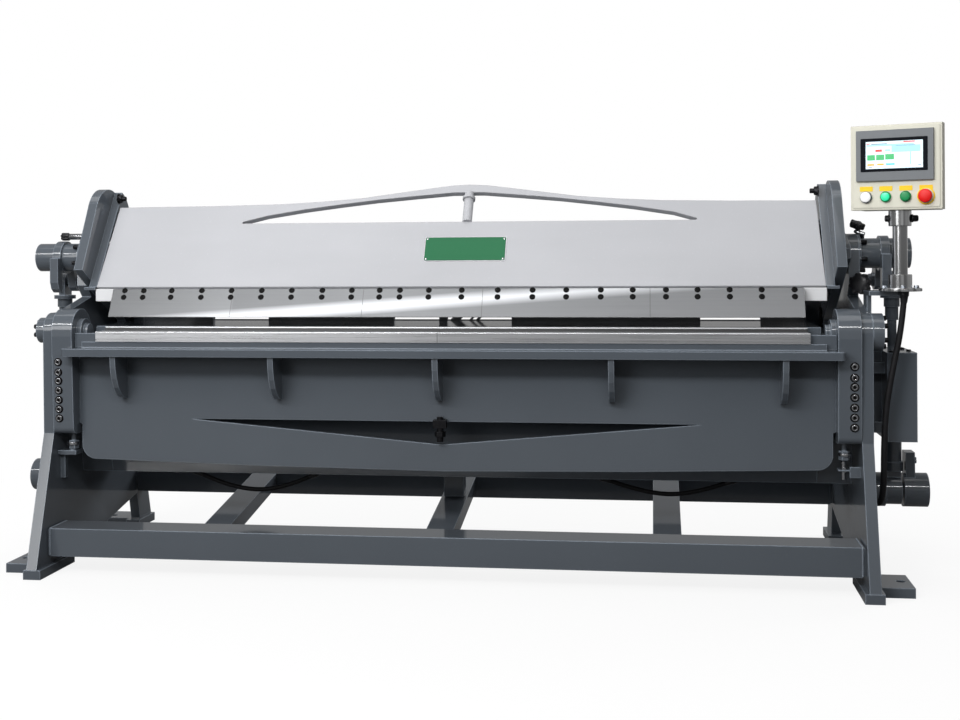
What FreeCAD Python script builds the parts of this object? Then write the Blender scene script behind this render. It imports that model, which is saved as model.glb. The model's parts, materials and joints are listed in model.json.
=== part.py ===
import FreeCAD, Part
import math
import os
import re
import Sketcher

# Hydraulic sheet metal folder
#
# A folding machine for sheet about two metres wide. Two side frames carry a bed, an upper
# clamping beam on rear pins, a clamp shaft with levers and cylinders, and a folding leaf that
# swings about the fold line. Lengths are in millimetres, angles in degrees, Z points up.
# The origin is on the floor, in the middle of the four anchor holes. X points right and Y back.
# Parts of the leaf are drawn from the fold line, parts of the upper beam from its rear pivot and
# parts of the clamp drive from the clamp shaft, so each group moves as one when a size changes.

doc = FreeCAD.newDocument("SheetMetalFolder")
sizes = doc.addObject("Spreadsheet::Sheet", "Sizes")

SIZES = {
    # main places
    "frame_inner": 1109,
    "frame_thick": 30,
    "ear_reach": 71,
    "anchor_x": "=frame_inner+frame_thick+ear_reach",
    "anchor_y": 294,
    "anchor_hole": 24,
    "foot_thick": 26,
    "fold_y": -280,
    "fold_z": 676,
    "shaft_y": -54,
    "shaft_z": 884,
    "beam_pivot_y": 106,
    "beam_pivot_z": 700,
    # clearances
    "running_fit": 0.08,
    "side_gap": 1,
    "fold_gap": 0.5,
    # side frame
    "pivot_head": 62,
    "frame_head": 50,
    "shaft_head": 55,
    "rear_head": 64,
    # pins and bearings
    "pin_radius": 28,
    "bearing_cap": 50,
    "cap_depth": 29,
    "rear_pin_radius": 26,
    # tie beams
    "tie_height": 78,
    "tie_depth": 105,
    "tie_wall": 8,
    "member_width": 78,
    # bed
    "bed_end_gap": 93,
    "bed_half": "=frame_inner-bed_end_gap",
    "bed_wall": 14,
    "bed_rise": 11,
    "bed_top_thick": 36,
    "bed_rear": 86,
    "stop_rail_thick": 18,
    "blade_depth": 28,
    # folding leaf
    "weld_gap": 0.1,
    "leaf_arm_thick": 60,
    "leaf_arm_inner": "=frame_inner-side_gap-leaf_arm_thick",
    "leaf_half": "=leaf_arm_inner-weld_gap",
    "web_thick": 16,
    "web_setback": 14,
    "flange_thick": 22,
    "flange_top": 45,
    "flange_front": 106,
    "blade_end_gap": 70,
    "leaf_blade_half": "=leaf_arm_inner-blade_end_gap",
    "leaf_blade_height": 28,
    "leaf_blade_depth": 62,
    "gusset_thick": 16,
    # upper beam
    "apron_lean": 32.55,
    "apron_thick": 18,
    "crank_thick": 18,
    "swing_arm_thick": 27,
    "end_plate_thick": 24,
    "beam_end_gap": "=crank_thick+swing_arm_thick+end_plate_thick+4*side_gap",
    "end_plate_inner": "=frame_inner-beam_end_gap",
    "apron_half": "=end_plate_inner",
    "apron_length": 281,
    "truss_rise": 70,
    "truss_band": 28,
    "truss_peak": 36,
    "truss_low": 62,
    "nose_end_gap": 61,
    "nose_half": "=end_plate_inner-nose_end_gap",
    "foot_half": "=end_plate_inner+2",
    "arm_window": 72,
    "roller_slot": 50,
    # clamp drive
    "tube_radius": 42,
    "tube_bore": 34,
    "lever_gap": 59,
    "lever_inner": "=frame_inner+frame_thick+lever_gap",
    "lever_thick": 25,
    "rod_gap": 27,
    "rod_x": "=lever_inner+lever_thick+rod_gap",
    "shaft_end": 32,
    "shaft_half": "=rod_x+shaft_end",
    "crank_inner": "=frame_inner-crank_thick-2*side_gap",
    "crank_radius": 100,
    "roller_radius": 22,
    "clevis_y": 86.8,
    "clevis_z": -75.4,
    "clevis_pin": 12,
    "clevis_hole": 15.5,
    "rod_radius": 13,
    "barrel_radius": 25,
    "barrel_bottom": 262,
    "barrel_length": 330,
    "trunnion_z": 207,
    "trunnion_tube": 48,
    # control post
    "post_reach": 78,
    "post_x": "=frame_inner+frame_thick+post_reach",
    "post_y": -274,
    "post_radius": 19,
    "disc_radius": 55,
    "disc_top": 792,
    "box_half_width": 116,
    "box_height": 222,
    "box_depth": 88,
    "box_bottom": 997,
    "box_turn": -22.9,
    "button_level": 34,
    "button_step": 50.5,
    # cables and hoses
    "cable_radius": 8,
    "hose_radius": 6.5,
}

WORDS = re.compile(r"\b(" + "|".join(sorted(SIZES, key=len, reverse=True)) + r")\b")


def fill_sheet():
    """Writes every named size into the sheet, one row each."""
    for row, (name, size) in enumerate(SIZES.items(), start=1):
        sizes.set(f"A{row}", name)
        sizes.set(f"B{row}", str(size))
        sizes.setAlias(f"B{row}", name)
    doc.recompute()


def formula(item):
    """Turns a number or a text with size names into an expression."""
    return WORDS.sub(r"Sizes.\1", str(item))


def value(item):
    """Gives the present value of a number or of a text with size names."""
    if isinstance(item, str):
        return float(sizes.evalExpression(formula(item)))
    return float(item)


def bind(thing, name, item):
    """Binds one property to a number or to a text with size names."""
    thing.setExpression(name, formula(item))


def new_body(label, x=0, y=0, z=0):
    """Starts a body whose own origin lies at the given place."""
    body = doc.addObject("PartDesign::Body", label)
    body.Label = label
    for axis, item in zip("xyz", (x, y, z)):
        bind(body, f"Placement.Base.{axis}", item)
    return body


def new_sketch(body, plane, start=0):
    """Lays a sketch on an origin plane of the body, moved to the start level.

    The level is an X, Y or Z coordinate of the body; the XZ plane looks along -Y."""
    origin_plane = [item for item in body.Origin.OriginFeatures if item.Role == plane + "_Plane"][0]
    sketch = body.newObject("Sketcher::SketchObject", body.Label + "_outline")
    sketch.AttachmentSupport = [(origin_plane, "")]
    sketch.MapMode = "FlatFace"
    level = f"-({start})" if plane == "XZ" else start
    bind(sketch, "AttachmentOffset.Base.z", level)
    return sketch


def add_polygon(sketch, points):
    """Draws a closed polygon; every corner is held by bound distances."""
    first = sketch.GeometryCount
    corners = [FreeCAD.Vector(value(u), value(v), 0) for u, v in points]
    count = len(corners)
    for index, corner in enumerate(corners):
        sketch.addGeometry(Part.LineSegment(corner, corners[(index + 1) % count]), False)
    for index in range(count):
        following = first + (index + 1) % count
        sketch.addConstraint(Sketcher.Constraint("Coincident", first + index, 2, following, 1))
    for index, point in enumerate(points):
        for kind, item, size in zip(("DistanceX", "DistanceY"), point, corners[index]):
            constraint = Sketcher.Constraint(kind, -1, 1, first + index, 1, size)
            number = sketch.addConstraint(constraint)
            if isinstance(item, str):
                bind(sketch, f"Constraints[{number}]", item)


def add_circle(sketch, centre, radius):
    """Draws a circle with bound centre and radius."""
    middle = FreeCAD.Vector(value(centre[0]), value(centre[1]), 0)
    index = sketch.addGeometry(Part.Circle(middle, FreeCAD.Vector(0, 0, 1), value(radius)), False)
    for kind, item, size in zip(("DistanceX", "DistanceY"), centre, middle):
        number = sketch.addConstraint(Sketcher.Constraint(kind, -1, 1, index, 3, size))
        if isinstance(item, str):
            bind(sketch, f"Constraints[{number}]", item)
    number = sketch.addConstraint(Sketcher.Constraint("Radius", index, value(radius)))
    if isinstance(radius, str):
        bind(sketch, f"Constraints[{number}]", radius)


def extrude(kind, body, sketch, length, plane):
    feature = body.newObject("PartDesign::" + kind, body.Label + "_" + kind.lower())
    feature.Profile = sketch
    bind(feature, "Length", length)
    towards_plus = plane != "XZ"
    feature.Reversed = (not towards_plus) if kind == "Pad" else towards_plus
    sketch.Visibility = False
    return feature


def pad(body, plane, start, length, points=None, circle=None, holes=()):
    """Adds a prism or a cylinder from the start level towards plus."""
    sketch = new_sketch(body, plane, start)
    if points:
        add_polygon(sketch, points)
    if circle:
        add_circle(sketch, *circle)
    for centre, radius in holes:
        add_circle(sketch, centre, radius)
    return extrude("Pad", body, sketch, length, plane)


def cut(body, plane, start, length, points=None, circles=()):
    """Takes a prism or cylinders away from the start level towards plus."""
    sketch = new_sketch(body, plane, start)
    if points:
        add_polygon(sketch, points)
    for centre, radius in circles:
        add_circle(sketch, centre, radius)
    return extrude("Pocket", body, sketch, length, plane)


def block(body, x, y, z):
    """Adds a box between pairs of X, Y and Z levels."""
    corners = [(x[0], y[0]), (x[1], y[0]), (x[1], y[1]), (x[0], y[1])]
    return pad(body, "XY", z[0], f"({z[1]})-({z[0]})", points=corners)


def round_edges(body, radius, wanted):
    """Rounds the edges whose middle lies near one of the wanted points (None = any)."""
    doc.recompute()
    base = body.Tip
    names = []
    for number, edge in enumerate(base.Shape.Edges, start=1):
        middle = edge.CenterOfMass
        for point in wanted:
            near = [item is None or abs(value(item) - have) < 1.5 for item, have in zip(point, middle)]
            if all(near):
                names.append(f"Edge{number}")
                break
    if not names:
        raise RuntimeError("no edge to round on " + body.Label)
    feature = body.newObject("PartDesign::Fillet", body.Label + "_round")
    feature.Base = (base, names)
    bind(feature, "Radius", radius)
    base.Visibility = False
    return feature


def outward(side, near, thick):
    """Start level of a plate that lies outward of |X| = near on the given side."""
    return near if side > 0 else f"-({near})-({thick})"


SIDES = (("left", -1), ("right", 1))


# Side frames, feet and tie beams

def side_frame(name, side):
    """One tall side plate with its three round heads and their bores."""
    start = outward(side, "frame_inner", "frame_thick")
    body = new_body("side_frame_" + name)
    profile = [
        ("fold_y-frame_head", "fold_z"), ("fold_y-frame_head+3", 388), (-434, "foot_thick"),
        (-60, "foot_thick"), (28, 70), (246, 112), (267, "foot_thick"), (359, "foot_thick"),
        (330, 130), (190, 640), ("beam_pivot_y+rear_head-4", 740), (120, 768), (40, 806),
        ("shaft_y+shaft_head", "shaft_z"), ("shaft_y-shaft_head", "shaft_z"), (-116, 800),
        (-84, 765), ("fold_y+36", "fold_z+frame_head"), ("fold_y", "fold_z+frame_head"),
    ]
    pad(body, "YZ", start, "frame_thick", points=profile)
    heads = (
        ("fold_y", "fold_z", "frame_head"),
        ("shaft_y", "shaft_z", "shaft_head"),
        ("beam_pivot_y", "beam_pivot_z", "rear_head"),
    )
    for y, z, radius in heads:
        pad(body, "YZ", start, "frame_thick", circle=((y, z), radius))
    bores = [
        (("fold_y", "fold_z"), "pin_radius+running_fit"),
        (("shaft_y", "shaft_z"), "tube_radius+running_fit"),
        (("beam_pivot_y", "beam_pivot_z"), "rear_pin_radius+0.02"),
    ]
    cut(body, "YZ", start, "frame_thick", circles=bores)
    return body


def feet(name, inner, ear_inner, front, ear_front, rear, hole_y):
    """A pair of floor pads, each with an ear that takes an anchor bolt."""
    body = new_body(name)
    for side in (-1, 1):
        points = [
            (f"{side}*({inner})", front), (f"{side}*({ear_inner})", front),
            (f"{side}*({ear_inner})", ear_front), (f"{side}*(anchor_x+25)", ear_front),
            (f"{side}*(anchor_x+25)", rear), (f"{side}*({inner})", rear),
        ]
        holes = [((f"{side}*anchor_x", hole_y), "anchor_hole/2")]
        pad(body, "XY", 0, "foot_thick", points=points, holes=holes)
    return body


def tie_beam(name, front, depth, bottom, height):
    """A box section beam with flat end plates between the side frames."""
    body = new_body(name)
    top = f"{bottom}+{height}"
    rear = f"{front}+{depth}"
    outer = [(front, bottom), (rear, bottom), (rear, top), (front, top)]
    inner = [
        (f"{front}+tie_wall", f"{bottom}+tie_wall"), (f"{rear}-tie_wall", f"{bottom}+tie_wall"),
        (f"{rear}-tie_wall", f"{top}-tie_wall"), (f"{front}+tie_wall", f"{top}-tie_wall"),
    ]
    pad(body, "YZ", "-frame_inner+6", "2*frame_inner-12", points=outer)
    cut(body, "YZ", "-frame_inner+6", "2*frame_inner-12", points=inner)
    plate = [
        (f"{front}+3", f"{bottom}+3"), (f"{rear}-3", f"{bottom}+3"),
        (f"{rear}-3", f"{top}-3"), (f"{front}+3", f"{top}-3"),
    ]
    pad(body, "YZ", "-frame_inner", 6, points=plate)
    pad(body, "YZ", "frame_inner-6", 6, points=plate)
    return body


def cross_members():
    """Three members that rise from the front tie beam to the rear one, and a bed post."""
    body = new_body("cross_members")
    profile = [(-262, 60), (-262, 107), (236, 186), (236, 142)]
    for middle in (-673, -25, 607):
        pad(body, "YZ", f"{middle}-member_width/2", "member_width", points=profile)
    block(body, (-55, 5), (40, 86), (160, 251.9))
    return body


# Bed

def bed_beam():
    """The welded box of the bed with a mounting block at each end."""
    body = new_body("bed_beam")
    outer = [(-259, 640), (-144, 252), ("bed_rear", 252), ("bed_rear", 651), (-251.2, 651),
             (-251.2, 640)]
    inner = [(-240, 630), (-132, 266), (72, 266), (72, 637), (-240, 637)]
    pad(body, "YZ", "-bed_half", "2*bed_half", points=outer)
    cut(body, "YZ", "-bed_half", "2*bed_half", points=inner)
    end = [(-196, 560), (-144, 252), ("bed_rear", 252), ("bed_rear", 590), (-196, 590)]
    pad(body, "YZ", "-frame_inner", "frame_inner-bed_half", points=end)
    pad(body, "YZ", "bed_half", "frame_inner-bed_half", points=end)
    return body


def bed_table():
    """The flat top plate of the bed behind its blade."""
    body = new_body("bed_table")
    levels = ("fold_z+bed_rise-bed_top_thick", "fold_z+bed_rise")
    block(body, ("-bed_half", "bed_half"), ("fold_y+fold_gap+blade_depth", "bed_rear"), levels)
    return body


def back_stop():
    """The stop rail behind the bed, with windows between its ribs."""
    body = new_body("back_stop", y="bed_rear+weld_gap", z="fold_z+bed_rise")
    block(body, ("-bed_half", "bed_half"), (0, "stop_rail_thick"), (-75, 48))
    windows = [
        [(-789, 2), (-611, 2), (-611, 28), (-789, 28)],
        [(-215, 2), (-75, 2), (-75, 28), (-215, 28)],
        [(-50, 2), (-40, 2), (-12, 28), (-50, 28)],
        [(-10, 2), (18, 2), (46, 28), (18, 28)],
        [(26, 2), (38, 2), (66, 28), (54, 28)],
        [(48, 2), (147, 2), (147, 28), (76, 28)],
        [(710, 2), (885, 2), (885, 28), (710, 28)],
    ]
    for window in windows:
        cut(body, "XZ", 0, "stop_rail_thick", points=window)
    return body


def bed_blade():
    """The hardened bar at the fold line; it stands above the leaf and leans back from it."""
    body = new_body("bed_blade", y="fold_y", z="fold_z")
    points = [
        ("fold_gap", 0), ("fold_gap", -36), ("blade_depth+fold_gap", -36),
        ("blade_depth+fold_gap", "bed_rise"), ("fold_gap+0.42*bed_rise", "bed_rise"),
    ]
    pad(body, "YZ", "-leaf_blade_half", "2*leaf_blade_half", points=points)
    return body


# Bearings

def bolt_ring(body, start, length, centre, ring, radius, count, turn=0):
    """Round bolt heads on a ring, standing on a face that looks along X."""
    sketch = new_sketch(body, "YZ", start)
    for index in range(count):
        angle = math.radians(turn + 360 * index / count)
        place = (
            f"{centre[0]}+({ring})*{math.cos(angle):.5f}",
            f"{centre[1]}+({ring})*{math.sin(angle):.5f}",
        )
        add_circle(sketch, place, radius)
    return extrude("Pad", body, sketch, length, "YZ")


def pivot_bearing(name, side):
    """The outer cap of a fold line bearing with its blind bore and bolts."""
    body = new_body("pivot_bearing_" + name, y="fold_y", z="fold_z")
    face = "frame_inner+frame_thick"
    radius = "bearing_cap" if side > 0 else "bearing_cap-14"
    pad(body, "YZ", outward(side, face, "cap_depth"), "cap_depth", circle=((0, 0), radius))
    bore = outward(side, face, 14)
    cut(body, "YZ", bore, 14, circles=[((0, 0), "pin_radius+running_fit")])
    start = outward(side, face + "+cap_depth", 7)
    bolt_ring(body, start, 7, (0, 0), radius + "-13", 6, 6, 30)
    return body


def shaft_bearing(name, side):
    """The flanged bearing ring of the clamp shaft on the outside of a frame head."""
    body = new_body("shaft_bearing_" + name, y="shaft_y", z="shaft_z")
    face = "frame_inner+frame_thick"
    bore = [((0, 0), "tube_radius+running_fit")]
    pad(body, "YZ", outward(side, face, 6), 6, circle=((0, 0), "shaft_head-1"), holes=bore)
    start = outward(side, face + "+6", 15)
    bolt_ring(body, start, 15, (0, 0), "shaft_head-6.5", 5, 6, 20)
    return body


def beam_pivot_pins():
    """The two fixed rear pins that the swing arms turn on."""
    body = new_body("beam_pivot_pins", y="beam_pivot_y", z="beam_pivot_z")
    for name, side in SIDES:
        start = outward(side, "frame_inner-52", "frame_thick+70")
        pad(body, "YZ", start, "frame_thick+70", circle=((0, 0), "rear_pin_radius"))
        cap = outward(side, "frame_inner+frame_thick", 12)
        pad(body, "YZ", cap, 12, circle=((0, 0), "rear_pin_radius+12"))
    return body


# Stops and sensor

def leaf_stop():
    """A bracket on the left frame with a rest under the leaf arm screw."""
    body = new_body("leaf_stop_left", y="fold_y", z="fold_z")
    block(body, ("-frame_inner", "-frame_inner+53"), (-22, 22), (-352, -340))
    rib = [(-8, -352), (8, -352), (8, -420), (-8, -420)]
    pad(body, "YZ", "-frame_inner", 14, points=rib)
    pad(body, "XY", -341, 3.5, circle=(("-frame_inner+37", -4), 10))
    return body


def sensor_bracket():
    """A small folded bracket on the right frame that holds the leaf sensor."""
    body = new_body("sensor_bracket", y="fold_y", z="fold_z")
    block(body, ("frame_inner-28", "frame_inner"), (-22, -18), (-381, -352))
    block(body, ("frame_inner-57", "frame_inner-27.5"), (-22, 14), (-364, -360))
    cut(body, "XY", -365, 6, circles=[(("frame_inner-41", -4), 6.1)])
    return body


def proximity_sensor():
    """The threaded leaf sensor with its two nuts."""
    body = new_body("proximity_sensor", x="frame_inner-41", y="fold_y-4", z="fold_z")
    pad(body, "XY", -388, 48, circle=((0, 0), 6))
    for level in (-360, -368):
        hexagon = [(9.5 * math.cos(math.radians(60 * n)), 9.5 * math.sin(math.radians(60 * n)))
                   for n in range(6)]
        pad(body, "XY", level, 4, points=hexagon)
    return body


# Folding leaf, drawn from the fold line

def leaf_flange():
    """The stiff shelf along the top of the leaf and the rail under its blade."""
    body = new_body("leaf_flange", y="fold_y", z="fold_z")
    rear = "web_thick-web_setback"
    low = "-flange_top-flange_thick"
    half = [("leaf_half-3", rear), ("leaf_half-3", -64), ("leaf_half+14", -64),
            ("leaf_half+14", "-flange_front")]
    left = [(f"-({u})", v) for u, v in reversed(half)]
    pad(body, "XY", low, "flange_thick", points=half + left)
    rail_top = "-leaf_blade_height"
    block(body, ("-leaf_half+27.9", "leaf_half-27.9"), ("-leaf_blade_depth+3", -1), ("-flange_top", rail_top))
    corner = "leaf_half+14"
    round_edges(body, 12, [(f"-({corner})", "-flange_front", None), (corner, "-flange_front", None)])
    return body


def leaf_web():
    """The deep front web of the leaf with its long crowning slot."""
    body = new_body("leaf_web", y="fold_y", z="fold_z")
    top = "-flange_top-flange_thick"
    half = [("leaf_half", top), ("leaf_half", -262), ("leaf_half-8", -266), ("leaf_half-8", -363),
            ("leaf_half-528", -376)]
    left = [(f"-({u})", v) for u, v in reversed(half)]
    points = half + [(0, -383)] + left
    pad(body, "XZ", "-web_setback", "web_thick", points=points)
    slot = [(-718, -247), (701, -247), (-6, -310)]
    cut(body, "XZ", "-web_setback", "web_thick", points=slot)
    round_edges(body, 40, [("leaf_half-8", None, -363), ("-(leaf_half-8)", None, -363)])
    round_edges(body, 60, [(-6, None, -310)])
    return body


def leaf_gussets():
    """Five curved gussets between the shelf and the web."""
    body = new_body("leaf_gussets", y="fold_y", z="fold_z")
    top = "-flange_top-flange_thick"
    curve = [("-web_setback", top)]
    for index in range(7):
        angle = math.radians(15 * index)
        u = -14 - 86 * math.cos(angle)
        v = -67 - 124 * math.sin(angle)
        curve.append((u, v) if index else (u, top))
    for middle in (-912, -462, -8, 462, 912):
        pad(body, "YZ", f"{middle}-gusset_thick/2", "gusset_thick", points=curve)
    return body


def leaf_blade():
    """The bright folding blade; its rear top edge is the fold line."""
    body = new_body("leaf_blade", y="fold_y", z="fold_z")
    points = [
        ("-leaf_blade_depth", "-leaf_blade_height"), ("-fold_gap", "-leaf_blade_height"),
        ("-fold_gap", 0), ("-leaf_blade_depth+1", 0), ("-leaf_blade_depth", -1),
    ]
    pad(body, "YZ", "-leaf_blade_half", "2*leaf_blade_half", points=points)
    return body


def leaf_arm(name, side):
    """A leaf arm with its round head, pin bore and a stop screw below."""
    body = new_body("leaf_arm_" + name, y="fold_y", z="fold_z")
    start = outward(side, "leaf_arm_inner", "leaf_arm_thick")
    profile = [
        (-62, 0), (-62.5, -14), (-51, -290), (26, -290), (50, -37), (62, 0),
    ]
    pad(body, "YZ", start, "leaf_arm_thick", points=profile)
    pad(body, "YZ", start, "leaf_arm_thick", circle=((0, 0), "pivot_head"))
    cut(body, "YZ", start, "leaf_arm_thick", circles=[((0, 0), "pin_radius")])
    round_edges(body, 20, [(None, -51, -290)])
    middle = f"{side}*(leaf_arm_inner+22)"
    pad(body, "XY", -314, 40, circle=((middle, -4), 7))
    nut = [(f"{middle}+{15 * math.cos(math.radians(60 * n)):.4f}",
            -4 + 15 * math.sin(math.radians(60 * n))) for n in range(6)]
    pad(body, "XY", -336, 24, points=nut)
    return body


def pivot_pin(name, side):
    """A fold line pin with the collar that holds it in the leaf arm."""
    body = new_body("pivot_pin_" + name, y="fold_y", z="fold_z")
    reach = "frame_thick+12+side_gap+leaf_arm_thick+14"
    start = outward(side, "leaf_arm_inner-14", reach)
    pad(body, "YZ", start, reach, circle=((0, 0), "pin_radius"))
    pad(body, "YZ", outward(side, "leaf_arm_inner-14", 14), 14, circle=((0, 0), "pin_radius+6"))
    pad(body, "YZ", outward(side, "leaf_arm_inner-26", 12), 12, circle=((0, 0), "pin_radius-8"))
    return body


def crowning_screw():
    """The block, screw and lock bolt that set the crown of the leaf."""
    body = new_body("crowning_screw", x=-6, y="fold_y", z="fold_z")
    block(body, (-18, 18), (-38, "-web_setback"), (-262, -240))
    pad(body, "XY", -300, 38, circle=((0, -27), 9))
    head = [(15 * math.cos(math.radians(60 * n)), -27 + 15 * math.sin(math.radians(60 * n)))
            for n in range(6)]
    pad(body, "XY", -286, 14, points=head)
    pad(body, "XY", -240, 8, circle=((0, -27), 9))
    return body


# Upper beam, drawn from its rear pivot

def beam_body(label):
    return new_body(label, y="beam_pivot_y", z="beam_pivot_z")


def truss_curve(steps, side):
    """Corners of the truss curve, given as distances from its peak and rises over the apron."""
    return [(f"truss_peak+{side * away}", f"apron_length+{rise}") for away, rise in steps]


def apron_plate():
    """The leaning front plate with its shallow truss opening along the top."""
    body = new_body("apron_plate", y="beam_pivot_y-311", z="beam_pivot_z+97")
    body.Placement.Rotation = FreeCAD.Rotation(FreeCAD.Vector(1, 0, 0), -10)
    bind(body, "Placement.Rotation.Angle", "-apron_lean")
    points = [("-apron_half", 0), ("apron_half", 0), ("apron_half-7", "apron_length")]
    points += truss_curve([(756, 2.5), (564, 6.5), (440, 14), (320, 25), (118, 57), (51, 67)], 1)
    points.append(("truss_peak", "apron_length+truss_rise"))
    points += truss_curve([(51, 67), (118, 57), (320, 25), (440, 14), (564, 6.5), (756, 2.5)], -1)
    points.append(("-apron_half+7", "apron_length"))
    pad(body, "XZ", 0, "apron_thick", points=points)
    low = "apron_length-truss_low"
    opening = [("truss_peak-671", low), ("truss_peak+660", low)]
    opening += truss_curve([(660, -56), (596, -34), (486, -13), (376, 4), (272, 18.5), (156, 31)], 1)
    opening.append(("truss_peak+46", "apron_length+truss_rise-truss_band"))
    opening.append(("truss_peak-46", "apron_length+truss_rise-truss_band"))
    opening += truss_curve([(156, 31), (272, 18.5), (376, 4), (486, -13), (596, -34), (671, -56)], -1)
    cut(body, "XZ", 0, "apron_thick", points=opening)
    return body


def truss_band():
    """The upright post under the peak of the band, with its collar."""
    body = new_body("truss_post", x="truss_peak+2", y="beam_pivot_y-311", z="beam_pivot_z+97")
    body.Placement.Rotation = FreeCAD.Rotation(FreeCAD.Vector(1, 0, 0), -10)
    bind(body, "Placement.Rotation.Angle", "-apron_lean")
    low = "apron_length-truss_low"
    high = "apron_length+truss_rise-truss_band"
    pad(body, "XY", low, f"{high}-({low})", circle=((0, 4), 14))
    pad(body, "XY", f"{high}-26", 8, circle=((0, 2), 18.5))
    return body


def beam_box():
    """The folded box behind the apron that stiffens the beam."""
    body = beam_body("beam_box")
    section = [
        (-295.4, 87.3), (0, 87.3), (-86.1, 280), (-172.5, 280), (-180.2, 268), (-94, 268),
        (-18, 99), (-288, 99),
    ]
    pad(body, "YZ", "-end_plate_inner", "2*end_plate_inner", points=section)
    return body


def beam_foot():
    """The light strip under the apron that carries the nose blade."""
    body = beam_body("beam_foot")
    section = [(-313, 92), (-313, 56), (-296, 56), (-296, 69), (-40, 69), (-40, 87), (-297, 87),
               (-304, 91)]
    pad(body, "YZ", "-foot_half", "2*foot_half", points=section)
    return body


def nose_blade():
    """The bright leaning nose whose lower edge clamps the sheet."""
    body = beam_body("nose_blade")
    section = [(-334, 92), (-313, 92), (-313, 55), (-332, 14.5), (-362, 13), (-370, 13), (-370, 15)]
    pad(body, "YZ", "-nose_half", "2*nose_half", points=section)
    return body


def end_plate(name, side):
    """The end plate of the beam with a round head and a window for the clamp shaft."""
    body = beam_body("end_plate_" + name)
    start = outward(side, "end_plate_inner", "end_plate_thick")
    turns = [math.radians(angle) for angle in range(67, 20, -8)]
    head = [(-168 + 98 * math.cos(turn), 291 + 98 * math.sin(turn)) for turn in turns]
    profile = [(-311, 97.4), *head, (-10, 170), (-10, 97.4)]
    pad(body, "YZ", start, "end_plate_thick", points=profile)
    window = ("shaft_y-beam_pivot_y", "shaft_z-beam_pivot_z")
    cut(body, "YZ", start, "end_plate_thick", circles=[(window, "arm_window+4")])
    foot = outward(side, "foot_half+1", 32)
    step = [(-318, 89), (-268, 89), (-268, 97.4), (-318, 97.4)]
    pad(body, "YZ", foot, 32, points=step)
    return body


def swing_arm(name, side):
    """A heavy swing arm with keyhole window, roller slot and rear hub."""
    body = beam_body("swing_arm_" + name)
    inner = "end_plate_inner+end_plate_thick"
    start = outward(side, inner, "swing_arm_thick")
    profile = [
        (-353, 148), (-265, 98), (-60, -10), (0, -56), (50, -25), (56, 20), (-72, 310),
        (-168, 389), (-250, 345),
    ]
    pad(body, "YZ", start, "swing_arm_thick", points=profile)
    pad(body, "YZ", start, "swing_arm_thick", circle=((-168, 291), 98))
    pad(body, "YZ", start, "swing_arm_thick", circle=((0, 0), 58))
    shaft = ("shaft_y-beam_pivot_y", "shaft_z-beam_pivot_z")
    cut(body, "YZ", start, "swing_arm_thick", circles=[(shaft, "arm_window")])
    cut(body, "YZ", start, "swing_arm_thick", circles=[((0, 0), "rear_pin_radius+running_fit")])
    low = f"{shaft[1]}-roller_slot/2"
    high = f"{shaft[1]}+roller_slot/2"
    front = f"{shaft[0]}-crank_radius-roller_radius-17"
    slot = [(front, low), (shaft[0], low), (shaft[0], high), (front, high)]
    floor = outward(side, inner + "+3", "swing_arm_thick-3")
    cut(body, "YZ", floor, "swing_arm_thick-3", points=slot)
    return body


# Clamp drive, drawn from the clamp shaft

def drive_body(label):
    return new_body(label, y="shaft_y", z="shaft_z")


def clamp_shaft():
    """The long tube that joins the two clamp levers."""
    body = drive_body("clamp_shaft")
    pad(body, "YZ", "-shaft_half", "2*shaft_half", circle=((0, 0), "tube_radius"),
        holes=[((0, 0), "tube_bore")])
    for name, side in SIDES:
        cap = outward(side, "shaft_half-8", 8)
        pad(body, "YZ", cap, 8, circle=((0, 0), "tube_radius"))
    return body


def shaft_lever(name, side):
    """An outer lever of the clamp shaft with its clevis pin and hub."""
    body = drive_body("shaft_lever_" + name)
    start = outward(side, "lever_inner", "lever_thick")
    nose = [(-66, -2), (-66, -74), (-58, -94), (-44, -105), (-36, -106), (-36, -2)]
    lug = [(30, -6), (56, -92), (70, -104), (90, -105), (110, -92), (117, -75), (105, -48),
           (60, -8), (54, 0)]
    for outline in (nose, lug):
        pad(body, "YZ", start, "lever_thick", points=outline)
    pad(body, "YZ", start, "lever_thick", circle=((0, 0), "tube_radius+7"))
    cut(body, "YZ", start, "lever_thick", circles=[((0, 0), "tube_radius")])
    face = "lever_inner+lever_thick"
    length = "rod_x+18-(lever_inner+lever_thick)"
    pin = outward(side, face, length)
    pad(body, "YZ", pin, length, circle=(("clevis_y", "clevis_z"), "clevis_pin"))
    washer = outward(side, "rod_x+12", 6)
    pad(body, "YZ", washer, 6, circle=(("clevis_y", "clevis_z"), "clevis_pin+7"))
    return body


def shaft_cranks():
    """The two inner cranks with the rollers that lift and press the arms."""
    body = drive_body("shaft_cranks")
    for name, side in SIDES:
        start = outward(side, "crank_inner", "crank_thick")
        profile = [
            (0, -58), ("-crank_radius", "-roller_radius-4"), ("-crank_radius-18", -14),
            ("-crank_radius-18", 14), ("-crank_radius", "roller_radius+4"), (0, 58),
        ]
        pad(body, "YZ", start, "crank_thick", points=profile)
        pad(body, "YZ", start, "crank_thick", circle=((0, 0), 58))
        roller = outward(side, "crank_inner-24", 24)
        pad(body, "YZ", roller, 24, circle=(("-crank_radius", 0), "roller_radius"))
        cut(body, "YZ", start, "crank_thick", circles=[((0, 0), "tube_radius")])
    return body


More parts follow.
